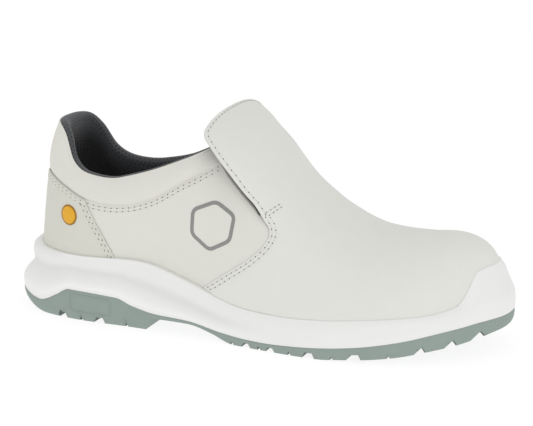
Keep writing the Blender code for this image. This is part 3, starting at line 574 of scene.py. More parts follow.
class Shape:
    """Collects points and faces, then makes one object of them."""

    def __init__(self):
        self.points = []
        self.faces = []
        self.slots = []
        self.lay = []
        self.slot = 0

    def add(self, rows, lay=None):
        first = len(self.points)
        rows = np.asarray(rows, float).reshape(-1, 3)
        self.points.extend(rows.tolist())
        self.lay.extend((np.zeros(rows.shape) if lay is None else np.asarray(lay, float)).tolist())
        return list(range(first, len(self.points)))

    def face(self, corners):
        kept = tuple(dict.fromkeys(corners))
        if len(kept) > 2:
            self.faces.append(kept)
            self.slots.append(self.slot)

    def band(self, one, two, closed=True):
        count = len(one)
        last = count if closed else count - 1
        for i in range(last):
            j = (i + 1) % count
            self.face((one[i], one[j], two[j], two[i]))

    def bands(self, rows, closed=True):
        for one, two in zip(rows, rows[1:]):
            self.band(one, two, closed)

    def cap(self, ring):
        """Close a ring by strips from the lateral to the medial side."""
        for i in range(len(ring) // 2):
            self.face((ring[i], ring[i + 1], ring[-i - 1], ring[(-i) % len(ring)]))

    def make(self, name, materials, sharp=None):
        mesh = bpy.data.meshes.new(name)
        mesh.from_pydata((np.array(self.points) * MM).tolist(), [], self.faces)
        for material in materials:
            mesh.materials.append(material)
        mesh.polygons.foreach_set("material_index", self.slots)
        lay = mesh.attributes.new("lay", "FLOAT_VECTOR", "POINT")
        lay.data.foreach_set("vector", np.array(self.lay, np.float32).ravel())
        work = bmesh.new()
        work.from_mesh(mesh)
        bmesh.ops.remove_doubles(work, verts=work.verts, dist=JOIN_REACH * MM)
        bmesh.ops.dissolve_degenerate(work, edges=work.edges, dist=FLAT_REACH * MM)
        bmesh.ops.recalc_face_normals(work, faces=work.faces)
        work.to_mesh(mesh)
        work.free()
        mesh.polygons.foreach_set("use_smooth", [True] * len(mesh.polygons))
        if sharp:
            mesh.set_sharp_from_angle(angle=math.radians(sharp))
        made = bpy.data.objects.new(name, mesh)
        bpy.context.scene.collection.objects.link(made)
        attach(made, "root")
        return made


def through(rows, steps):
    """Smooth rows of points through given rows, by distance along them."""
    rows = np.array(rows)
    reach = np.maximum(np.linalg.norm(np.diff(rows, axis=0), axis=-1), 1e-6)[..., None]
    slope = np.diff(rows, axis=0) / reach
    tangent = np.concatenate([slope[:1], (slope[:-1] * reach[1:] + slope[1:] * reach[:-1])
                              / (reach[1:] + reach[:-1]), slope[-1:]])
    found = []
    for i in range(len(rows) - 1):
        for k in range(steps):
            found.append(hermite(rows, tangent, i, k / steps, reach[i]))
    return found + [rows[-1]]


# Materials
PEBBLE_SOFTNESS = 0.35


class Look:
    """A material's nodes, with short calls for the kinds used here."""

    def __init__(self, name, **settings):
        self.material = bpy.data.materials.new(name)
        self.material.use_nodes = True
        self.tree = self.material.node_tree
        self.shader = self.tree.nodes["Principled BSDF"]
        for key, value in settings.items():
            self.shader.inputs[key.replace("_", " ")].default_value = value
        self.place = self.tree.nodes.new("ShaderNodeTexCoord").outputs["Object"]

    def feed(self, socket, value):
        if isinstance(value, bpy.types.NodeSocket):
            self.tree.links.new(value, socket)
        else:
            socket.default_value = value

    def node(self, kind, choices, **values):
        """A new node with its choices made and its inputs set or linked."""
        made = self.tree.nodes.new("ShaderNode" + kind)
        for key, choice in choices.items():
            setattr(made, key, choice)
        for key, value in values.items():
            self.feed(made.inputs[key.replace("_", " ")], value)
        return made

    def calc(self, operation, one, two=0.0):
        made = self.node("Math", {"operation": operation})
        self.feed(made.inputs[0], one)
        self.feed(made.inputs[1], two)
        return made.outputs[0]

    def sum_of(self, one, one_share, two, two_share):
        """Two values added, each times its own share."""
        return self.calc("ADD", self.calc("MULTIPLY", one, one_share), self.calc("MULTIPLY", two, two_share))

    def noise(self, size_mm, detail=2.0):
        """Soft noise whose patches are about the given size."""
        scale = 1.0 / (size_mm * MM)
        return self.node("TexNoise", {}, Scale=scale, Detail=detail, Vector=self.place).outputs["Fac"]

    def pebbles(self, size_mm):
        """Rounded grains of the given size, parted by fine valleys."""
        made = self.node("TexVoronoi", {"feature": "SMOOTH_F1"}, Scale=1.0 / (size_mm * MM),
                         Smoothness=PEBBLE_SOFTNESS, Vector=self.place)
        return made.outputs["Distance"]

    def spread(self, value, low, high, from_low=0.0, from_high=1.0):
        made = self.node("MapRange", {}, Value=value, From_Min=from_low, From_Max=from_high,
                         To_Min=low, To_Max=high)
        return made.outputs["Result"]

    def mix(self, share, one, two):
        one, two = [shade if isinstance(shade, bpy.types.NodeSocket) else (*shade, 1.0)
                    for shade in (one, two)]
        return self.node("Mix", {"data_type": "RGBA"}, Factor=share, A=one, B=two).outputs["Result"]

    def colour(self, source):
        self.tree.links.new(source, self.shader.inputs["Base Color"])

    def roughness(self, source):
        self.tree.links.new(source, self.shader.inputs["Roughness"])

    def bump(self, height, depth_mm):
        made = self.node("Bump", {}, Distance=depth_mm * MM, Height=height)
        self.tree.links.new(made.outputs["Normal"], self.shader.inputs["Normal"])


def toned(shade, factor):
    return [value * factor for value in shade]


def laid_parts(look):
    """The first two values laid on a piece's points: lengths on cloth, painted shade and painted light on
    foam.
    """
    lay = look.node("Attribute", {"attribute_name": "lay"})
    parts = look.node("SeparateXYZ", {}, Vector=lay.outputs["Vector"])
    return parts.outputs["X"], parts.outputs["Y"]


def microfibre(name, shade):
    """Off-white coated microfibre: fine pebble grain, faint cloudiness, low gloss."""
    look = Look(name, Specular_IOR_Level=0.42)
    cloud = look.noise(9.0, 3.0)
    grain = look.pebbles(0.75)
    fine = look.noise(0.35, 2.0)
    look.colour(look.mix(look.sum_of(cloud, 0.7, fine, 0.3), toned(shade, 0.955), shade))
    look.roughness(look.spread(fine, 0.46, 0.6))
    look.bump(look.sum_of(grain, -0.7, fine, 0.5), 0.09)
    return look.material


def foam(name, shade):
    """Moulded polyurethane with a satin skin, a very fine tooth, painted shade in the side trough and
    painted light on the flare.
    """
    look = Look(name, Specular_IOR_Level=0.45)
    fine = look.noise(0.4, 3.0)
    cloud = look.noise(14.0, 2.0)
    # Two laid tones: painted shade in the side trough, painted light on the flare below it
    trough_shade, flare_light = laid_parts(look)
    tone = look.mix(cloud, toned(shade, 0.975), shade)
    tone = look.mix(trough_shade, tone, toned(shade, 0.885))
    look.colour(look.mix(flare_light, tone, toned(shade, 1.05)))
    look.roughness(look.spread(fine, 0.4, 0.52))
    look.bump(look.calc("ADD", fine, look.calc("MULTIPLY", cloud, 0.3)), 0.03)
    return look.material


def rubber(name, shade):
    """Moulded rubber: dull, slightly uneven in tone, with a fine sandy tooth."""
    look = Look(name, Specular_IOR_Level=0.4)
    fine = look.noise(0.5, 3.0)
    cloud = look.noise(11.0, 2.0)
    look.colour(look.mix(look.sum_of(cloud, 0.6, fine, 0.4), toned(shade, 0.88), toned(shade, 1.06)))
    look.roughness(look.spread(fine, 0.55, 0.72))
    look.bump(fine, 0.06)
    return look.material


def mesh_cloth(name, yarn, pit, cell_mm, painted_shade_mm):
    """Knitted spacer mesh: staggered slots between raised yarns, with painted shade darkening it down inside
    the shoe.
    """
    look = Look(name, Specular_IOR_Level=0.25, Sheen_Weight=0.25, Sheen_Roughness=0.5, Roughness=0.85)
    along, below = laid_parts(look)
    across = look.calc("DIVIDE", along, cell_mm[0])
    down = look.calc("DIVIDE", below, cell_mm[1])
    row = look.calc("FLOOR", down)
    shift = look.calc("MULTIPLY", look.calc("MODULO", row, 2.0), 0.5)
    u = look.calc("SUBTRACT", look.calc("FRACT", look.calc("ADD", across, shift)), 0.5)
    w = look.calc("SUBTRACT", look.calc("FRACT", down), 0.5)
    near = look.sum_of(look.calc("MULTIPLY", u, u), 16.0, look.calc("MULTIPLY", w, w), 7.84)
    slot = look.spread(near, 1.0, 0.0, 0.2, 1.1)
    fine = look.noise(0.7, 3.0)
    # Painted shade: the yarn is lit near the rim and darkens with depth below it
    shade = look.spread(below, 1.0, 0.08, painted_shade_mm[0], painted_shade_mm[1])
    cloth = look.mix(shade, toned(yarn, 0.2), look.mix(fine, toned(yarn, 0.8), toned(yarn, 1.2)))
    look.colour(look.mix(look.calc("MULTIPLY", slot, 0.75), cloth, pit))
    look.bump(look.calc("SUBTRACT", look.calc("MULTIPLY", fine, 0.3), slot), 0.22)
    return look.material


def elastic(name, shade, edge):
    """Dark woven elastic, lightened along the edge that shows by a painted shadow gradient that is darkest
    under the flap.
    """
    look = Look(name, Specular_IOR_Level=0.2, Sheen_Weight=0.2, Roughness=0.9)
    share = laid_parts(look)[0]
    fine = look.noise(0.6, 3.0)
    rib = look.calc("SINE", look.calc("MULTIPLY", share, 60.0))
    # Painted shadow: leather-toned at the gore's low edge, darkening towards the flap
    shadow_fade = look.spread(share, 1.0, 0.0, 0.04, 0.34)
    cloth = look.mix(fine, toned(shade, 0.7), toned(shade, 1.3))
    look.colour(look.mix(look.calc("POWER", shadow_fade, 2.0), cloth, edge))
    look.bump(look.calc("ADD", fine, look.calc("MULTIPLY", rib, 0.4)), 0.12)
    return look.material


def plain_cloth(name, shade, rib_mm):
    """Felt with a fine rib across the shoe."""
    look = Look(name, Specular_IOR_Level=0.2, Sheen_Weight=0.2, Roughness=0.9)
    fine = look.noise(0.6, 3.0)
    parts = look.node("SeparateXYZ", {}, Vector=look.place)
    wave = look.calc("SINE", look.calc("MULTIPLY", parts.outputs["X"], 2 * math.pi / (rib_mm * MM)))
    look.colour(look.mix(fine, toned(shade, 0.7), toned(shade, 1.3)))
    look.bump(look.calc("ADD", fine, look.calc("MULTIPLY", wave, 0.4)), 0.2)
    return look.material


def ink(name, shade, low, high, size_mm, depth_mm):
    """A printed or moulded coat, thread, or the painted shade of needle holes, with a little unevenness."""
    look = Look(name, Specular_IOR_Level=0.4)
    fine = look.noise(size_mm, 3.0)
    look.colour(look.mix(fine, toned(shade, 0.86), toned(shade, 1.08)))
    look.roughness(look.spread(fine, low, high))
    look.bump(fine, depth_mm)
    return look.material


UPPER_LOOK = microfibre("upper_microfibre", (0.738, 0.729, 0.67))
VAMP_LOOK = microfibre("vamp_microfibre", (0.758, 0.756, 0.716))
COUNTER_LOOK = microfibre("counter_microfibre", (0.675, 0.668, 0.6))
MIDSOLE_LOOK = foam("midsole_foam", (0.82, 0.82, 0.805))
OUTSOLE_LOOK = rubber("outsole_rubber", (0.28, 0.338, 0.308))
# Darker rubber for faces deep in the grooves: painted shade in the recesses
GROOVE_SHADE_LOOK = rubber("groove_shade_rubber", (0.10, 0.125, 0.115))
LINING_LOOK = mesh_cloth("lining_mesh", yarn=(0.072, 0.075, 0.081), pit=(0.014, 0.015, 0.017),
                         cell_mm=(2.7, 2.3), painted_shade_mm=(3.0, 15.0))
# The second colour is the light end of the painted shadow at the gore's showing edge
GORE_LOOK = elastic("gore_elastic", (0.03, 0.03, 0.024), (0.42, 0.415, 0.37))
INSOLE_LOOK = plain_cloth("insole_felt", (0.03, 0.031, 0.035), 2.0)
THREAD_LOOK = ink("thread", (0.70, 0.695, 0.65), 0.55, 0.75, 0.3, 0.08)
# Needle holes: dark beads of painted shade between the threads
NEEDLE_SHADE_LOOK = ink("needle_hole_shade", (0.13, 0.13, 0.115), 0.7, 0.85, 0.3, 0.05)
PRINT_LOOK = ink("grey_print", (0.265, 0.268, 0.255), 0.45, 0.6, 0.8, 0.03)
BADGE_LOOK = ink("amber_coat", (0.80, 0.41, 0.012), 0.3, 0.42, 1.5, 0.02)
BADGE_RIM_LOOK = ink("amber_rim", (0.36, 0.17, 0.012), 0.35, 0.5, 1.5, 0.02)


# Upper and lining
UPPER_STATIONS = 230
LINING_STATIONS = 170
SEAM_BELOW = 6.0
SEAM_ABOVE = 3.0
SEAM_LOWEST = 0.3
SEAM_HIGHEST = 0.4
SEAM_SHARES = (0.0, 0.08, 0.17, 0.28, 0.4, 0.55, 0.75)
CUPPED_SHARES = (0.0, 0.4, 0.8)
PAD_FROM = 0.62
PAD_OVER = 0.34
LIP_HEIGHT = 0.85
COVER_FROM = 6.0
COVER_RISE = 0.25
COVER_TUCK = -0.3
LAYER_GAP = 0.35
LINING_ROWS = 26
LINING_LOW = 0.2
LIP_BEHIND = 12.0
LIP_END = 168.0
LIP_ROWS = 14


def upper_rows(c):
    """Rows up the ribs, close together at the collar seam."""
    feather = at_loop(FEATHER_V, c)
    seam = at_loop(SEAM_V, c)
    reach = at_loop(SEAM_REACH, c)
    low = np.maximum(seam - SEAM_BELOW / reach, feather + SEAM_LOWEST * (seam - feather))
    high = seam + np.minimum(SEAM_ABOVE / reach, SEAM_HIGHEST * (1 - seam))
    stretches = ((0 * feather, feather, CUPPED_SHARES), (feather, low, np.linspace(0.0, 1.0, 18)[:-1]),
                 (low, seam, np.linspace(0.0, 1.0, 19)[:-1]), (seam, high, SEAM_SHARES),
                 (high, np.ones(high.shape), np.linspace(0.0, 1.0, 13)))
    return [start + (end - start) * share for start, end, shares in stretches for share in shares]


def wall_at(c, v):
    """Thickness of the upper: one wall, with padding at the collar."""
    pad = smooth_step((v - PAD_FROM) / PAD_OVER) * collar_share(c)
    return WALL + COLLAR_PAD * pad


def inner_face(c, v):
    return skin(c, v, -wall_at(c, v) - puff(c, v))


def rim_rings(out, into, angles, extra):
    """Rings over the padded lip of the collar, from its outer to its inner edge."""
    along = np.roll(out, -1, axis=0) - np.roll(out, 1, axis=0)
    across = out - into
    up = np.cross(along, across)
    up /= np.linalg.norm(up, axis=1)[:, None]
    up *= np.sign(up[:, 2])[:, None]
    reach = np.linalg.norm(across, axis=1)[:, None] / 2
    middle = (out + into) / 2
    found = []
    for angle in angles:
        turn = math.radians(angle)
        side = across / 2 * math.cos(turn) * (1 + extra / reach)
        found.append(middle + side + up * (reach * LIP_HEIGHT + extra) * math.sin(turn))
    return found


def collar_edge(count):
    """Stations of one side, with the order and both edges of the collar's points."""
    one_side = side_stations(count)
    throat = int(np.argmin(abs(one_side - STATION[THROAT_ROW])))
    one_side[throat] = STATION[THROAT_ROW]
    c = loop_stations(one_side)
    order = [i % len(c) for i in range(-throat, throat)]
    ones = np.ones(c.shape)
    return one_side, order, skin(c, ones, 0.0)[order], inner_face(c, ones)[order]


def close_lip(shape, outer, inner, rings, order):
    """Join two walls at the sole, and by rings over the collar."""
    shape.bands(outer)
    shape.bands(inner)
    shape.band(outer[0], inner[0])
    shape.bands([[outer[-1][i] for i in order]] + rings + [[inner[-1][i] for i in order]])


def build_upper():
    one_side, order, out, into = collar_edge(UPPER_STATIONS)
    c = loop_stations(one_side)
    ones = np.ones(c.shape)
    shape = Shape()
    outer = [shape.add(skin(c, v, collar_relief(c, v))) for v in upper_rows(c)]
    inner = [shape.add(skin(c, v, -LEATHER)) for v in upper_rows(c)[::2] + [ones]]
    cover = rim_rings(out, into, np.linspace(COVER_FROM, RIM_COVER, 5), COVER_RISE)
    cover = [shape.add(ring) for ring in cover + rim_rings(out, into, (RIM_COVER,), COVER_TUCK)]
    close_lip(shape, outer, inner, cover, order)
    made = shape.make("upper_shell", [UPPER_LOOK])
    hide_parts("upper")
    return made


def build_lining():
    one_side, order, out, into = collar_edge(LINING_STATIONS)
    c = loop_stations(one_side)
    ones = np.ones(c.shape)
    along = run_length(surface(one_side, np.ones(one_side.shape)))
    along = np.concatenate([along, -along[1:-1][::-1]])
    shape = Shape()
    shares = np.linspace(0.0, 1.0, LINING_ROWS)

    def laid(down, places=slice(None)):
        return np.stack([along[places], np.broadcast_to(down, along[places].shape), 0 * along[places]], -1)

    height = inner_face(c, ones) - inner_face(c, LINING_LOW * ones)
    height = np.linalg.norm(height, axis=-1) / (1 - LINING_LOW)
    hidden = [shape.add(skin(c, v, -LEATHER - LAYER_GAP)) for v in upper_rows(c)[::2] + [ones]]
    inner = [shape.add(inner_face(c, share * ones), laid((1 - share) * height)) for share in shares]
    reach = np.linalg.norm(out - into, axis=1) / 2
    rings = []
    for angle in np.linspace(RIM_COVER - LIP_BEHIND, LIP_END, LIP_ROWS):
        down = -reach * math.radians(180.0 - angle)
        rings.append(shape.add(rim_rings(out, into, (angle,), 0.0)[0], laid(down, order)))
    close_lip(shape, hidden, inner, rings, order)
    made = shape.make("collar_lining", [LINING_LOOK])
    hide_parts("upper")
    return made


# Overlays
UNDER_FEATHER = 0.985
EDGE_TILT = 0.2
SMALL_C = 0.3
SMALL_T = 0.003
EDGE_LOW = 50
EDGE_HIGH = 84
EDGE_FAN = 8
EVEN_ROUNDS = 8
EDGE_STEP = 0.3
EDGE_SAMPLES = (500, 300)
FAN_STRAIGHT = 1.0
FAN_LOW = 6.0
FAN_HIGH = 4.0
EDGE_STEPS = (0.0, 0.12, 0.3, 0.5, 0.7, 1.0, 1.3, 1.6, 1.9, 2.2, 2.5, 2.8, 3.2, 3.6, 3.9, 4.2, 4.6, 5.2)
FAR_STEPS = 65
FAR_POWER = 2.2
NOTCH_BELOW = 0.06
NOTCH_ABOVE = 0.07
SEWN_TOP = 78.0
SEWN_FADE = 8.0
SKIVED_REACH = 9.0
SKIVED_GAP = 0.45
SKIVED_SKIN = 0.75
THINNEST = 0.1
VAMP_ROW_WIDTH = 0.6
COUNTER_GAP = 0.1
COUNTER_DROP = 0.35
COUNTER_STEPS = (0.0, 0.003, 0.007, 0.012, 0.018, 0.026, 0.035, 0.046, 0.058, 0.07)
COUNTER_COUNT = 56
GORE_INSIDE = 0.1
GORE_EDGE = 0.35
GORE_TAPER = 0.3
GORE_RIB = 0.08
GORE_RIBS = 6
GORE_COUNT = (25, 49)


def find_edge(place, table, t, first, last, medial):
    """The station at which each row of an overlay meets its edge."""
    return bisect(lambda s: in_front(place(LOOP - s if medial else s, t, VAMP_GAP), table),
                  np.full(t.shape, first), np.full(t.shape, last))


def spaced(values, points, count):
    """Values taken at even distances along a line of points."""
    length = run_length(points)
    places = np.linspace(0.0, length[-1], count)
    return [np.interp(places, length, value) for value in values]


def densify(points, step):
    """The same line with points about a step apart."""
    count = max(2, int(run_length(points)[-1] / step) + 1)
    return np.stack(spaced(points.T, points, count), -1)


def edge_distance(points, edge):
    tree = KDTree(len(edge))
    for i, point in enumerate(edge):
        tree.insert(point, i)
    tree.balance()
    flat = points.reshape(-1, 3)
    return np.array([tree.find(point)[2] for point in flat]).reshape(points.shape[:-1])


def rounded_edge(d, thickness):
    """Height of a sheet's outer face near its edge, which is turned over."""
    t = 1 - np.clip(d / EDGE_ROUND, 0.0, 1.0)
    return thickness - EDGE_ROUND * (1 - np.sqrt(np.maximum(1 - t * t, 0.0)))


def close_panel(shape, inside, outside, ridge_closed, under_slot):
    """Join the two faces of an overlay and its edges."""
    shape.bands(outside, False)
    shape.slot = under_slot
    shape.bands(inside, False)
    shape.slot = 0
    shape.band(inside[0], outside[0], False)
    if not ridge_closed:
        shape.band(inside[-1], outside[-1], False)
    for end in (0, -1):
        shape.band([row[end] for row in inside], [row[end] for row in outside], False)


def edge_steps(fine, count):
    """Shares from an edge inwards: close steps first, then even ones."""
    start = np.array(fine)
    rest = np.linspace(start[-1], 1.0, count - len(start) + 1)[1:]
    return np.concatenate([start, rest])


def vamp_share(c, t):
    feather = at_loop(FLAP_FEATHER_V, c) * UNDER_FEATHER
    return feather + (1 - feather) * t


def vamp_at(c, t, offset):
    return skin(c, vamp_share(c, t), offset, True)


def vamp_edge(medial):
    """The vamp's rear edge on one side, from the sole past its notch to the ridge."""
    t = np.linspace(0.0, 1.0, EDGE_SAMPLES[0])
    s = find_edge(vamp_at, VAMP_EDGE, t, STATION[6], STATION[12], medial)
    notch = int(np.argmax(s))
    more = np.linspace(s[-1], s[notch], EDGE_SAMPLES[1])
    at = LOOP - more if medial else more
    high = bisect(lambda share: in_front(vamp_at(at, share, VAMP_GAP), VAMP_EDGE),
                  np.full(more.shape, t[notch]), np.ones(more.shape))
    s = np.concatenate([s, more])
    t = np.concatenate([t, high])
    c = LOOP - s if medial else s
    points = vamp_at(c, t, VAMP_GAP)
    order = np.argsort(points[:, 2] + (-EDGE_TILT if medial else EDGE_TILT) * points[:, 1])
    c, t, s, points = c[order], t[order], s[order], points[order]
    notch = int(np.argmax(s))
    low = spaced((c[:notch + 1], t[:notch + 1]), points[:notch + 1], EDGE_LOW + 1)
    up = spaced((c[notch:], t[notch:]), points[notch:], EDGE_HIGH + 1)
    return np.concatenate([low[0], up[0][1:]]), np.concatenate([low[1], up[1][1:]])


def inward(place, rib_share, flap, c, t, turn):
    """Steps of c and t for one millimetre inwards, square to an edge."""
    t_high = np.minimum(t + SMALL_T, 1.0)
    t_low = np.maximum(t - SMALL_T, 0.0)
    across = (place(c + SMALL_C, t, 0.0) - place(c - SMALL_C, t, 0.0)) / (2 * SMALL_C)
    up = (place(c, t_high, 0.0) - place(c, t_low, 0.0)) / (t_high - t_low)[:, None]
    along = np.gradient(place(c, t, 0.0), axis=0)
    away = np.cross(along, normals(c, rib_share(c, t), flap)) * turn
    away /= np.linalg.norm(away, axis=1)[:, None]
    aa = (across * across).sum(1)
    ab = (across * up).sum(1)
    bb = (up * up).sum(1)
    ca = (away * across).sum(1)
    cb = (away * up).sum(1)
    size = aa * bb - ab * ab
    return (ca * bb - cb * ab) / size, (cb * aa - ca * ab) / size


def evened(values, rounds):
    """Values along a row, each drawn towards the mean of its neighbours."""
    for _ in range(rounds):
        inner = (values[:-2] + 2 * values[1:-1] + values[2:]) / 4
        values = np.concatenate([values[:1], inner, values[-1:]])
    return values


def vamp_half(medial):
    """One half of the vamp as rows of c and t, from its edge to the middle of the toe."""
    c, t = vamp_edge(medial)
    turn = -1.0 if medial else 1.0
    step_c, step_t = inward(vamp_at, vamp_share, True, c, t, turn)
    number = np.arange(len(c))
    rise = smooth_step((number - FAN_STRAIGHT) / FAN_LOW)
    rise = rise * smooth_step((len(c) - FAN_STRAIGHT - number) / FAN_HIGH)
    straight = 1.0 / np.linalg.norm(vamp_at(c + 0.5, t, 0.0) - vamp_at(c - 0.5, t, 0.0), axis=1)
    step_c = turn * straight * (1 - rise) + step_c * rise
    step_t = step_t * rise
    step_c = evened(step_c, EVEN_ROUNDS)
    step_t = evened(step_t, EVEN_ROUNDS)
    near = np.array(EDGE_STEPS)
    rows_c = c[:, None] + step_c[:, None] * near
    rows_t = np.clip(t[:, None] + step_t[:, None] * near, 0.0, 1.0)
    last = np.interp(number, (0, EDGE_LOW - EDGE_FAN, EDGE_LOW + EDGE_FAN, len(c) - 1),
                     (0.0, NOTCH_T - NOTCH_BELOW, NOTCH_T + NOTCH_ABOVE, 1.0))
    on = np.linspace(0.0, 1.0, FAR_STEPS + 1)[1:]
    far_c = rows_c[:, -1:] + (END - rows_c[:, -1:]) * on
    far_t = rows_t[:, -1:] + (last[:, None] - rows_t[:, -1:]) * (1 - (1 - on) ** FAR_POWER)
    return np.concatenate([rows_c, far_c], 1), np.concatenate([rows_t, far_t], 1), (c, t, step_c, step_t)


NOTCH_T = float(vamp_edge(False)[1][EDGE_LOW])


def vamp_layers(z, d):
    """Inner and outer face of the vamp over the upper: thinned where its lower edge is sewn."""
    thin = smooth_step((SEWN_TOP - z) / SEWN_FADE) * (1 - smooth_step(d / SKIVED_REACH))
    under = VAMP_GAP - SKIVED_GAP * thin
    return under, under + np.maximum(rounded_edge(d, OVERLAY - SKIVED_SKIN * thin), THINNEST)


def vamp_lines(distance, medial):
    """A sewn line inside the vamp's edge, with its normals."""
    c, t, step_c, step_t = VAMP_HALVES[medial][2]
    c = c + step_c * distance
    t = np.clip(t + step_t * distance, 0.0, 1.0)
    start = vamp_at(c, t, VAMP_GAP)
    over = vamp_layers(start[:, 2], np.full(c.shape, distance))[1]
    return vamp_at(c, t, over - 0.1 + creases(start)), normals(c, vamp_share(c, t), True)


VAMP_HALVES = [vamp_half(False), vamp_half(True)]


def build_vamp():
    near, far = VAMP_HALVES
    rows_c = np.concatenate([near[0], far[0][:, -2::-1]], 1)
    rows_t = np.concatenate([near[1], far[1][:, -2::-1]], 1)
    start = vamp_at(rows_c, rows_t, VAMP_GAP)
    edge = np.concatenate([start[:, 0], start[::-1, -1]])
    d = edge_distance(start, densify(edge, EDGE_STEP))
    low = smooth_step((SEWN_TOP - start[..., 2]) / SEWN_FADE)
    sewn = sum(bump_at(d, row, VAMP_ROW_WIDTH) for row in VAMP_STITCH)
    sunk = STITCH_SINK * (low * sewn + (1 - low) * bump_at(d, FLAP_STITCH, VAMP_ROW_WIDTH))
    under, over = vamp_layers(start[..., 2], d)
    fold = creases(start)
    inside = vamp_at(rows_c, rows_t, under + fold)
    outside = vamp_at(rows_c, rows_t, over - sunk + fold)
    shape = Shape()
    # The lining on the vamp's inside takes Y as its length and X as its depth, so its painted shade darkens
    # it towards the toe
    lay = np.stack([inside[..., 1], inside[..., 0], 0 * inside[..., 0]], -1)
    number_in = [shape.add(row, mark) for row, mark in zip(inside, lay)]
    number_out = [shape.add(row) for row in outside]
    close_panel(shape, number_in, number_out, True, 1)
    made = shape.make("vamp_flap", [VAMP_LOOK, LINING_LOOK])
    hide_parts("vamp")
    return made


def counter_share(c, t):
    feather = at_loop(FEATHER_V, c) * UNDER_FEATHER
    top = at_loop(SEAM_V, c) - COUNTER_DROP / at_loop(SEAM_REACH, c)
    return feather + (top - feather) * t


def counter_at(c, t, offset):
    return skin(c, counter_share(c, t), offset)


def build_counter():
    t = np.linspace(0.0, 1.0, COUNTER_COUNT)
    lateral = find_edge(counter_at, COUNTER_EDGE, t, STATION[2], STATION[7], False)
    medial = find_edge(counter_at, COUNTER_EDGE, t, STATION[2], STATION[7], True)
    steps = edge_steps(COUNTER_STEPS, COUNTER_COUNT)
    rows_c = []
    for i in range(len(t)):
        near = lateral[i] * (1 - steps)
        far = -medial[i] * (1 - steps)
        rows_c.append(np.concatenate([far, near[-2::-1]]))
    rows_c = np.array(rows_c)
    rows_t = np.broadcast_to(t[:, None], rows_c.shape)
    inside = counter_at(rows_c, rows_t, COUNTER_GAP)
    edge = np.concatenate([inside[:, 0], inside[-1], inside[::-1, -1]])
    sides = np.concatenate([densify(inside[:, 0], EDGE_STEP), densify(inside[:, -1], EDGE_STEP)])
    d = edge_distance(inside, densify(edge, EDGE_STEP))
    d_side = edge_distance(inside, sides)
    sunk = STITCH_SINK * sum(bump_at(d_side, row, ROW_WIDTH) for row in COUNTER_STITCH)
    height = rounded_edge(d, COUNTER_HEIGHT) - sunk
    outside = counter_at(rows_c, rows_t, COUNTER_GAP + height)
    shape = Shape()
    number_in = [shape.add(row) for row in inside]
    number_out = [shape.add(row) for row in outside]
    close_panel(shape, number_in, number_out, False, 0)
    made = shape.make("heel_counter", [COUNTER_LOOK])
    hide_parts("counter")
    return made, (lateral, t), (LOOP - medial, t)


def on_side(x, z, medial):
    """Place on the upper that shows at a given length and height from the side."""

    def placed(s):
        c = LOOP - s if medial else s
        return c, height_share(c, z)

    first = np.full(np.shape(x), STATION[4])
    last = np.full(np.shape(x), STATION[12])
    return placed(bisect(lambda s: surface(*placed(s))[..., 0] - x, first, last))


def build_gore(name, medial):
    along = np.linspace(0.0, len(GORE_ROWS) - 1.0, GORE_COUNT[1])
    edges = {key: monotone(np.arange(len(GORE_ROWS)), GORE[key], along) for key in GORE_COLUMNS}
    shape = Shape()
    inside = []
    outside = []
    for share in np.linspace(0.0, 1.0, GORE_COUNT[0]):
        x = edges["x_low"] + (edges["x_high"] - edges["x_low"]) * share
        z = edges["z_low"] + (edges["z_high"] - edges["z_low"]) * share
        c, v = on_side(x, z, medial)
        rib = GORE_RIB * math.cos(share * GORE_RIBS * 2 * math.pi)
        thick = (GORE_GAP + GORE_SKIN - GORE_EDGE) * smooth_step(share / GORE_TAPER)
        lay = np.stack([np.full(x.shape, share), along, 0 * x], -1)
        inside.append(shape.add(skin(c, v, GORE_INSIDE), lay))
        outside.append(shape.add(skin(c, v, GORE_EDGE + thick + rib), lay))
    close_panel(shape, inside, outside, False, 0)
    made = shape.make(name + "_elastic", [GORE_LOOK])
    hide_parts(name)
    return made


# Sole
MIDSOLE_STATIONS = 230
MIDSOLE_STEPS = 7
MIDSOLE_SHARP = 60.0
CUP_SHARES = (0.0, 0.5, 0.98)
SOLE_SEAM = 0.1
RIM_TUCK = 0.1
RIM_BEVEL = 0.5
SHOULDER_LEVEL = 0.86
BEAD_LEVEL = 0.5
FLARE_LEVEL = 0.3
# Where the painted shade of the side trough and the painted light of the flare peak, in profile steps, and
# how far along the shoe they reach
TROUGH_AT = 3.7
FLARE_AT = 5.1
TROUGH_WIDTH = 0.5
TROUGH_FROM = 30.0
TROUGH_OVER = 50.0
CORE_DROP = 0.05
SIPES = (-100.5, -70.6, -0.5, 17.3, 36.6, 62.5, 94.6)
SIPE_WIDTH = 1.8
SIPE_WALL = 0.4
SIPE_DEPTH = 1.4
NOTCH_WIDTHS = {-88.5: 7.2, 48.5: 7.4, 75.3: 8.4}
CUTS = [(place, NOTCH_WIDTHS.get(place, GROOVE_WIDTH), GROOVE_WALL, GROOVE_DEPTH) for place in GROOVES]
CUTS += [(place, SIPE_WIDTH, SIPE_WALL, SIPE_DEPTH) for place in SIPES]
TREAD_STATIONS = 110
TREAD_SAMPLES = 6001
TREAD_SHARP = 38.0
STATION_CLEAR = 0.7
LEAST_EDGE = 0.3
EDGE_BEVEL = ((0.35, 0.0), (0.08, 0.08), (0.0, 0.22))
WALL_SHARES = (0.4, 0.6, 0.75, 0.86, 0.94)
WALL_BOW = 2.5
DARK_DEPTH = 0.3
DARK_OVER = 0.12
CHANNEL_LIMIT = 0.1
CHANNEL_WALL_LIMIT = 0.03
INSOLE_STATIONS = 120
INSOLE_SHARP = 50.0
INSOLE_ROUND = 0.8
INSOLE_DROP = 0.7


def core_height(x):
    """Top of the outsole inside its raised edge."""
    return np.minimum(line(GREY_LINE, x) - CORE_DROP, line(GROUND_LINE, x) + OUTSOLE_CORE)


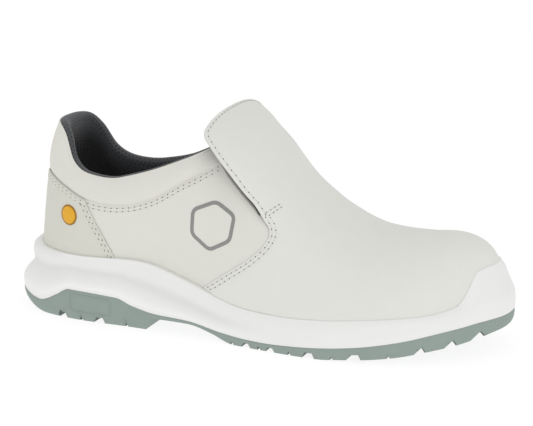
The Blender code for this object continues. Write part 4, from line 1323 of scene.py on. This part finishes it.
def build_midsole():
    c = loop_stations(side_stations(MIDSOLE_STATIONS))
    x = outline(c)[0]
    feather = both(SOLE, "feather", c)
    top = at_loop(FEATHER_V, c)
    bottom = line(GREY_LINE, x) + SOLE_SEAM
    crease = both(SOLE, "crease_level", c)
    levels = (("shoulder", crease + (1 - crease) * SHOULDER_LEVEL),
              ("bead", crease + (1 - crease) * BEAD_LEVEL),
              ("crease", crease), ("flare", crease * FLARE_LEVEL))
    controls = [skin(c, top, RIM_WIDTH - RIM_BEVEL), skin(c, top, RIM_WIDTH)]
    for name, level in levels:
        controls.append(ring_inside(c, both(SOLE, name, c), bottom + (feather - bottom) * level))
    low = both(SOLE, "low", c)
    controls.append(ring_inside(c, low, bottom))
    profile = through(controls, MIDSOLE_STEPS)
    shape = Shape()
    rings = []
    for share in CUP_SHARES:
        ring = skin(c, top * share, CUP_GAP)
        if share == 0.0:
            ring[:, 2] = both(SOLE, "floor", c)
        rings.append(ring)
    rings.append(skin(c, top, RIM_TUCK))
    rings += profile
    rings.append(ring_inside(c, low + WING_WIDTH + HIDDEN_GAP, bottom))
    rings.append(ring_inside(c, low + WING_WIDTH + WING_SLOPE + HIDDEN_GAP, core_height(x) + HIDDEN_GAP))
    first = len(rings) - len(profile) - 2
    # Painted shade in the side trough and painted light on the flare below it, laid on the rings for the
    # foam
    along = smooth_step((TROUGH_FROM - x) / TROUGH_OVER)
    numbered = []
    for i, ring in enumerate(rings):
        step = (i - first) / MIDSOLE_STEPS
        trough_shade = along * bump_at(step, TROUGH_AT, TROUGH_WIDTH)
        flare_light = along * bump_at(step, FLARE_AT, TROUGH_WIDTH)
        numbered.append(shape.add(ring, np.stack([trough_shade, flare_light, 0 * x], -1)))
    shape.bands(numbered)
    shape.cap(numbered[0])
    shape.cap(numbered[-1])
    made = shape.make("midsole_unit", [MIDSOLE_LOOK], MIDSOLE_SHARP)
    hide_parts("midsole")
    return made


def cut_at(x):
    """Depth of the grooves and of the small slits between them at a given length."""
    x = np.asarray(x, float)
    limit = GROOVE_SHARE * (core_height(x) - line(GROUND_LINE, x))
    depth = np.zeros(x.shape)
    for place, width, wall, deep in CUTS:
        share = np.clip((width / 2 - abs(x - place)) / wall, 0.0, 1.0)
        depth = np.maximum(depth, np.minimum(deep, limit) * share)
    return depth


def tread_stations():
    wanted = []
    for place, width, wall, deep in CUTS:
        wanted += [place - width / 2, place - width / 2 + wall, place + width / 2 - wall, place + width / 2]
    wanted += list(SOLE_BREAKS)
    fine = np.linspace(0.0, END, TREAD_SAMPLES)
    x_fine = outline(fine)[0]
    found = [float(np.interp(x, x_fine, fine)) for x in wanted]
    even = side_stations(TREAD_STATIONS)
    for s, x in zip(even, outline(even)[0]):
        if s in (even[0], even[-1]) or min(abs(x - w) for w in wanted) > STATION_CLEAR:
            found.append(float(s))
    return np.array(sorted(found))


def build_outsole():
    c = loop_stations(tread_stations())
    x = outline(c)[0]
    grey = line(GREY_LINE, x)
    ground = line(GROUND_LINE, x)
    low = both(SOLE, "low", c)
    tread_in = both(SOLE, "tread_in", c)
    cut = cut_at(x)
    edge = np.minimum(ground + cut, grey - LEAST_EDGE)
    rise = grey - edge
    rings = [ring_inside(c, low + WING_WIDTH + WING_SLOPE, core_height(x)),
             ring_inside(c, low + WING_WIDTH, grey)]
    rings += [ring_inside(c, low + inset, grey - share * rise) for inset, share in EDGE_BEVEL]
    straight = EDGE_BEVEL[-1][1]
    for share in WALL_SHARES:
        bow = (share - straight) / (1 - straight)
        rings.append(ring_inside(c, low + (tread_in - low) * bow ** WALL_BOW, grey - share * rise))
    rings.append(ring_inside(c, tread_in, edge))
    shape = Shape()
    numbered = [shape.add(ring) for ring in rings]
    shape.bands(numbered)
    shape.cap(numbered[0])
    build_tread(shape, numbered[-1], rings[-1], x, cut)
    # Faces deep in the grooves take the darker rubber, as painted shade in the recesses
    points = np.array(shape.points)
    for k, face in enumerate(shape.faces):
        middle = points[list(face)].mean(0)
        deep = float(cut_at(middle[0]))
        ceiling = float(line(GROUND_LINE, middle[0])) + deep
        shape.slots[k] = 1 if deep > DARK_DEPTH and middle[2] < ceiling + DARK_OVER else 0
    made = shape.make("outsole_tread", [OUTSOLE_LOOK, GROOVE_SHADE_LOOK], TREAD_SHARP)
    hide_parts("outsole")
    return made


def build_tread(shape, ring, points, x, cut):
    """Lugs: the ground face crossed by grooves and two long channels."""
    half = len(ring) // 2
    count = len(ring)
    rows = []
    for i in range(half + 1):
        j = (-i) % count
        lateral = points[i]
        medial = points[j]
        if i in (0, half):
            rows.append([ring[i]] * (4 * len(CHANNELS) + 2))
            continue
        width = np.linalg.norm(medial - lateral)
        base = float(line(GROUND_LINE, x[i]))
        channel_depth = float(min(GROOVE_DEPTH, GROOVE_SHARE * (core_height(x[i]) - base)))
        row = [ring[i]]
        for channel in CHANNELS:
            reach = min(CHANNEL_WIDTH / 2 / width, CHANNEL_LIMIT)
            wall = min(GROOVE_WALL / width, CHANNEL_WALL_LIMIT)
            for place, deep in ((-reach, False), (wall - reach, True), (reach - wall, True), (reach, False)):
                point = lateral + (medial - lateral) * (channel + place)
                point[2] = base + max(cut[i], channel_depth if deep else 0.0)
                row.extend(shape.add([point]))
        row.append(ring[j])
        rows.append(row)
    for one, two in zip(rows, rows[1:]):
        for a, b, d, e in zip(one, one[1:], two[1:], two):
            shape.face((a, b, d, e))


def build_insole():
    c = loop_stations(side_stations(INSOLE_STATIONS))
    reach = -(WALL + INSOLE_CLEARANCE)
    floor = both(SOLE, "floor", c) + SEAM_GAP
    low = skin(c, np.zeros(c.shape), reach)
    low[:, 2] = floor
    top = floor + INSOLE_THICKNESS
    share = height_share(c, top)
    high = skin(c, share, reach)
    high[:, 2] = top - INSOLE_DROP
    soft = skin(c, share, reach - INSOLE_ROUND)
    soft[:, 2] = top
    shape = Shape()
    rings = [shape.add(low), shape.add(high), shape.add(soft)]
    shape.bands(rings)
    shape.cap(rings[0])
    shape.cap(rings[-1])
    made = shape.make("footbed", [INSOLE_LOOK], INSOLE_SHARP)
    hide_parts("insole")
    return made


# Sewing and marks
STITCH_PITCH = 3.9
BAR_PITCH = 3.4
BAR_STEPS = 12
BARS = (((18.0, 78.2), (22.9, 81.6)), ((19.7, 76.7), (24.2, 80.2)))
SEWN_SPLIT = 76.0
ROW_STEPS = 160
ROW_PAST = 3.0
ROW_SINK = -0.1
COUNTER_FRONT = -99.0
COUNTER_SEWN = (0.02, 0.9)
THREAD_RADIUS = 0.26
THREAD_SHARE = 0.74
HOLE_LENGTH = 1.15
HOLE_RADIUS = 0.3
STITCH_SIDES = 6
THREAD_BOW = ((-0.5, 0.0, -0.3), (-0.34, 0.8, -0.1), (0.0, 1.0, 0.0), (0.34, 0.8, -0.1), (0.5, 0.0, -0.3))
HOLE_BOW = ((-0.5, 0.0, -0.05), (-0.25, 0.8, 0.0), (0.0, 1.0, 0.0), (0.25, 0.8, 0.0), (0.5, 0.0, -0.05))
BADGE_AT = (-107.6, 63.4)
BADGE_SIZE = (11.6, 12.2)
BADGE_SIDES = 64
# Share of the radius, height and material of each ring of the badge
BADGE_PROFILE = ((0.0, 0.55, 0), (0.45, 0.54, 0), (0.84, 0.5, 0), (0.87, 0.34, 1), (0.9, 0.34, 1),
                 (0.92, 0.5, 1), (0.97, 0.46, 1), (1.0, 0.25, 1), (1.0, -0.2, 1), (0.0, -0.2, 1))
RAY_FROM = 150.0
MARK_STEP = 0.7
MARK_SHARP = 50.0
MARK_ROUND = 3.0
MARK_WIDTH = 2.2
FRAME_ROUND = 2.4
FRAME_WIDTH = 1.1
CORNER_STEPS = 7
MARK_CORNERS = ((-27.0, 75.4), (-13.0, 81.4), (-1.0, 74.4), (-3.0, 60.4), (-16.0, 53.4), (-27.5, 61.4))
FRAME_CORNERS = ((-106.5, 16.6), (-80.0, 15.6), (-80.0, 5.4), (-106.5, 5.8))
# Share of the half width, and height, of each edge of a printed or moulded line
PRINT_PROFILE = ((-1.0, -0.1), (-1.0, 0.1), (-0.8, 0.16), (0.8, 0.16), (1.0, 0.1), (1.0, -0.1))
MOULD_PROFILE = ((-1.0, -0.2), (-0.8, 0.16), (-0.4, 0.4), (0.4, 0.4), (0.8, 0.16), (1.0, -0.2))


def tree_of(*items):
    """One search tree over several meshes, in millimetres."""
    points = []
    faces = []
    for item in items:
        first = len(points)
        points += [vertex.co / MM for vertex in item.data.vertices]
        faces += [[first + k for k in face.vertices] for face in item.data.polygons]
    return BVHTree.FromPolygons(points, faces)


def on_surface(tree, x, z, side):
    """Where a side view place falls on a mesh, with the outward direction there."""
    spot, normal = tree.ray_cast(Vector((x, RAY_FROM * side, z)), Vector((0.0, -side, 0.0)))[:2]
    if normal.y * side < 0:
        normal = -normal
    return spot, normal


def sewn_line(shape, path, outs, pitch=STITCH_PITCH):
    """A row of stitches along points on a surface, whose normals are given."""
    length = run_length(path)
    count = max(1, int(round(length[-1] / pitch)))

    def taken(values, place):
        return Vector([np.interp(place, length, values[:, i]) for i in range(3)])

    def laid(shares, size, radius, bow):
        for share in shares:
            middle = share * length[-1] / count
            normal = taken(outs, middle).normalized()
            along = taken(path, middle + size / 2) - taken(path, middle - size / 2)
            along = (along - normal * along.dot(normal)).normalized()
            add_stitch(shape, taken(path, middle), along, normal, size, radius, bow)

    shape.slot = 0
    laid(np.arange(count) + 0.5, THREAD_SHARE * length[-1] / count, THREAD_RADIUS, THREAD_BOW)
    # Dark beads at the needle holes: painted shade
    shape.slot = 1
    laid(np.arange(count + 1), HOLE_LENGTH, HOLE_RADIUS, HOLE_BOW)


def add_stitch(shape, spot, along, normal, size, radius, bow):
    """A short bowed bead along a line: one thread, or a dark bead of painted shade at the needle hole
    between two.
    """
    side = along.cross(normal)
    rings = []
    for share, thick, rise in bow:
        middle = spot + along * (share * size) + normal * rise
        if thick == 0.0:
            rings.append(shape.add([middle]) * STITCH_SIDES)
            continue
        ring = []
        for k in range(STITCH_SIDES):
            turn = 2 * math.pi * k / STITCH_SIDES
            ring.append(middle + (side * math.cos(turn) + normal * math.sin(turn)) * (radius * thick))
        rings.append(shape.add(ring))
    shape.bands(rings)


def build_sewing(vamp, counter_edges):
    shape = Shape()
    for medial in (False, True):
        for distance in VAMP_STITCH:
            path, outs = vamp_lines(distance, medial)
            kept = (path[:, 2] < SEWN_SPLIT) & (np.arange(len(path)) > 2)
            sewn_line(shape, path[kept], outs[kept])
        path, outs = vamp_lines(FLAP_STITCH, medial)
        kept = path[:, 2] >= SEWN_SPLIT
        sewn_line(shape, path[kept], outs[kept])
    tree = tree_of(vamp)
    for bar in BARS:
        for side in (-1, 1):
            found = [on_surface(tree, x, z, side) for x, z in np.linspace(*bar, BAR_STEPS)]
            sewn_line(shape, np.array([list(spot) for spot, normal in found]),
                      np.array([list(normal) for spot, normal in found]), BAR_PITCH)
    for row in COLLAR_ROWS:
        for low, high in ((-STATION[8] - ROW_PAST, 0.0), (0.0, STATION[8] + ROW_PAST)):
            c = np.linspace(low, high, ROW_STEPS)
            v = at_loop(SEAM_V, c) + row / at_loop(SEAM_REACH, c)
            on_counter = surface(c, v)[:, 0] < COUNTER_FRONT
            path = skin(c, v, np.where(on_counter, COUNTER_HEIGHT, ROW_SINK))
            for kept in (on_counter, ~on_counter):
                sewn_line(shape, path[kept], normals(c, v)[kept])
    for number, (c, t) in enumerate(counter_edges):
        turn = -1.0 if number == 0 else 1.0
        step_c, step_t = inward(counter_at, counter_share, False, c, t, turn)
        for distance in COUNTER_STITCH:
            at_c = c + step_c * distance
            at_t = t + step_t * distance
            kept = (at_t > COUNTER_SEWN[0]) & (at_t < COUNTER_SEWN[1])
            path = counter_at(at_c, at_t, COUNTER_HEIGHT)
            sewn_line(shape, path[kept], normals(at_c, counter_share(at_c, at_t))[kept])
    made = shape.make("stitching", [THREAD_LOOK, NEEDLE_SHADE_LOOK])
    return made


def pressed(tree, places, rise, side):
    """Side view places laid on a mesh and raised along its normals."""
    found = [on_surface(tree, x, z, side) for x, z in places]
    return [spot + normal * rise for spot, normal in found]


def rounded_polygon(corners, radius, steps):
    """A closed line with rounded corners through side view points."""
    found = []
    corners = np.array(corners, float)
    for i in range(len(corners)):
        here = corners[i]
        before = corners[i - 1] - here
        after = corners[(i + 1) % len(corners)] - here
        start = here + before / np.linalg.norm(before) * radius
        end = here + after / np.linalg.norm(after) * radius
        for t in np.linspace(0.0, 1.0, steps):
            found.append(start * (1 - t) ** 2 + here * 2 * t * (1 - t) + end * t * t)
    return densify(np.array(found + [found[0]]), MARK_STEP)[:-1]


def raised_line(name, path, width, profile, tree, side, material):
    """A low moulded or printed line on a side of the shoe, closed all round."""
    step = np.roll(path, -1, axis=0) - np.roll(path, 1, axis=0)
    step /= np.linalg.norm(step, axis=1)[:, None]
    out = np.stack([step[:, 1], -step[:, 0]], -1)
    shape = Shape()
    rows = []
    for across, rise in profile:
        rows.append(shape.add(pressed(tree, path + out * (across * width / 2), rise, side)))
    shape.bands(rows + [rows[0]])
    return shape.make(name, [material], MARK_SHARP)


def build_badge(counter):
    """A plain amber oval with a darker rim, with nothing on it."""
    tree = tree_of(counter)
    rings = []
    shape = Shape()
    turn = 2 * np.pi * np.arange(BADGE_SIDES) / BADGE_SIDES
    round_badge = np.stack([np.cos(turn), np.sin(turn)], -1) * np.array(BADGE_SIZE) / 2
    for share, rise, slot in BADGE_PROFILE:
        rings.append((shape.add(pressed(tree, BADGE_AT + round_badge * share, rise, -1)), slot))
    for (one, _), (two, slot) in zip(rings, rings[1:]):
        shape.slot = slot
        shape.band(one, two)
    return shape.make("heel_button", [BADGE_LOOK, BADGE_RIM_LOOK])


upper = build_upper()
build_lining()
vamp = build_vamp()
counter, counter_lateral, counter_medial = build_counter()
for gore, medial in (("gore_lateral", False), ("gore_medial", True)):
    build_gore(gore, medial)
build_midsole()
outsole = build_outsole()
build_insole()
build_sewing(vamp, (counter_lateral, counter_medial))
build_badge(counter)
mark = rounded_polygon(MARK_CORNERS, MARK_ROUND, CORNER_STEPS)
raised_line("quarter_mark", mark, MARK_WIDTH, PRINT_PROFILE, tree_of(upper), -1, PRINT_LOOK)
heel_frame = rounded_polygon(FRAME_CORNERS, FRAME_ROUND, CORNER_STEPS)
for side, word in ((-1, "lateral"), (1, "medial")):
    raised_line("heel_frame_" + word, heel_frame, FRAME_WIDTH, MOULD_PROFILE, tree_of(outsole), side,
                OUTSOLE_LOOK)

# Camera, light and floor
AZIMUTH = math.radians(21.98)
ELEVATION = math.radians(15.278)
AIM = Vector((0.0, 0.0, 0.06))
DISTANCE = 1.4
LIGHT_AIM = Vector((0.0, 0.0, 0.05))
KEY_PLACE = Vector((1.1, -1.5, 0.9))
KEY_SIZE = 1.4
KEY_POWER = 5.0
SKY_STRENGTH = 0.84
FLOOR_REACH = 6.0
FLOOR_GLOW = 0.86
back = Vector((math.sin(AZIMUTH) * math.cos(ELEVATION), -math.cos(AZIMUTH) * math.cos(ELEVATION),
               math.sin(ELEVATION)))
camera_data = bpy.data.cameras.new("camera")
camera_data.sensor_width = 36.0
camera_data.lens = 162.8
camera_data.shift_x = 0.0094
camera_data.shift_y = 0.0215
camera_data.clip_start = 0.05
camera_data.clip_end = 50.0
camera = bpy.data.objects.new("camera", camera_data)
camera.location = AIM + back * DISTANCE
camera.rotation_euler = (-back).to_track_quat("-Z", "Y").to_euler()
bpy.context.scene.collection.objects.link(camera)
bpy.context.scene.camera = camera

key_data = bpy.data.lights.new("key", "AREA")
key_data.shape = "DISK"
key_data.size = KEY_SIZE
key_data.energy = KEY_POWER
key = bpy.data.objects.new("key", key_data)
key.location = KEY_PLACE
key.rotation_euler = (LIGHT_AIM - KEY_PLACE).to_track_quat("-Z", "Y").to_euler()
bpy.context.scene.collection.objects.link(key)
bpy.context.scene.view_settings.view_transform = "Standard"

world = bpy.data.worlds.new("studio")
world.use_nodes = True
sky = world.node_tree.nodes["Background"]
sky.inputs["Color"].default_value = (1.0, 1.0, 1.0, 1.0)
sky.inputs["Strength"].default_value = SKY_STRENGTH
bpy.context.scene.world = world

floor_shape = bmesh.new()
bmesh.ops.create_grid(floor_shape, x_segments=8, y_segments=8, size=FLOOR_REACH)
floor_mesh = bpy.data.meshes.new("floor")
floor_shape.to_mesh(floor_mesh)
floor_shape.free()
floor = bpy.data.objects.new("floor", floor_mesh)
floor_look = Look("floor_paper", Specular_IOR_Level=0.1, Roughness=0.9, Emission_Color=(1.0, 1.0, 1.0, 1.0),
                  Emission_Strength=FLOOR_GLOW)
floor_look.colour(floor_look.mix(floor_look.noise(400.0, 2.0), (0.17, 0.17, 0.17), (0.18, 0.18, 0.18)))
floor_mesh.materials.append(floor_look.material)
bpy.context.scene.collection.objects.link(floor)
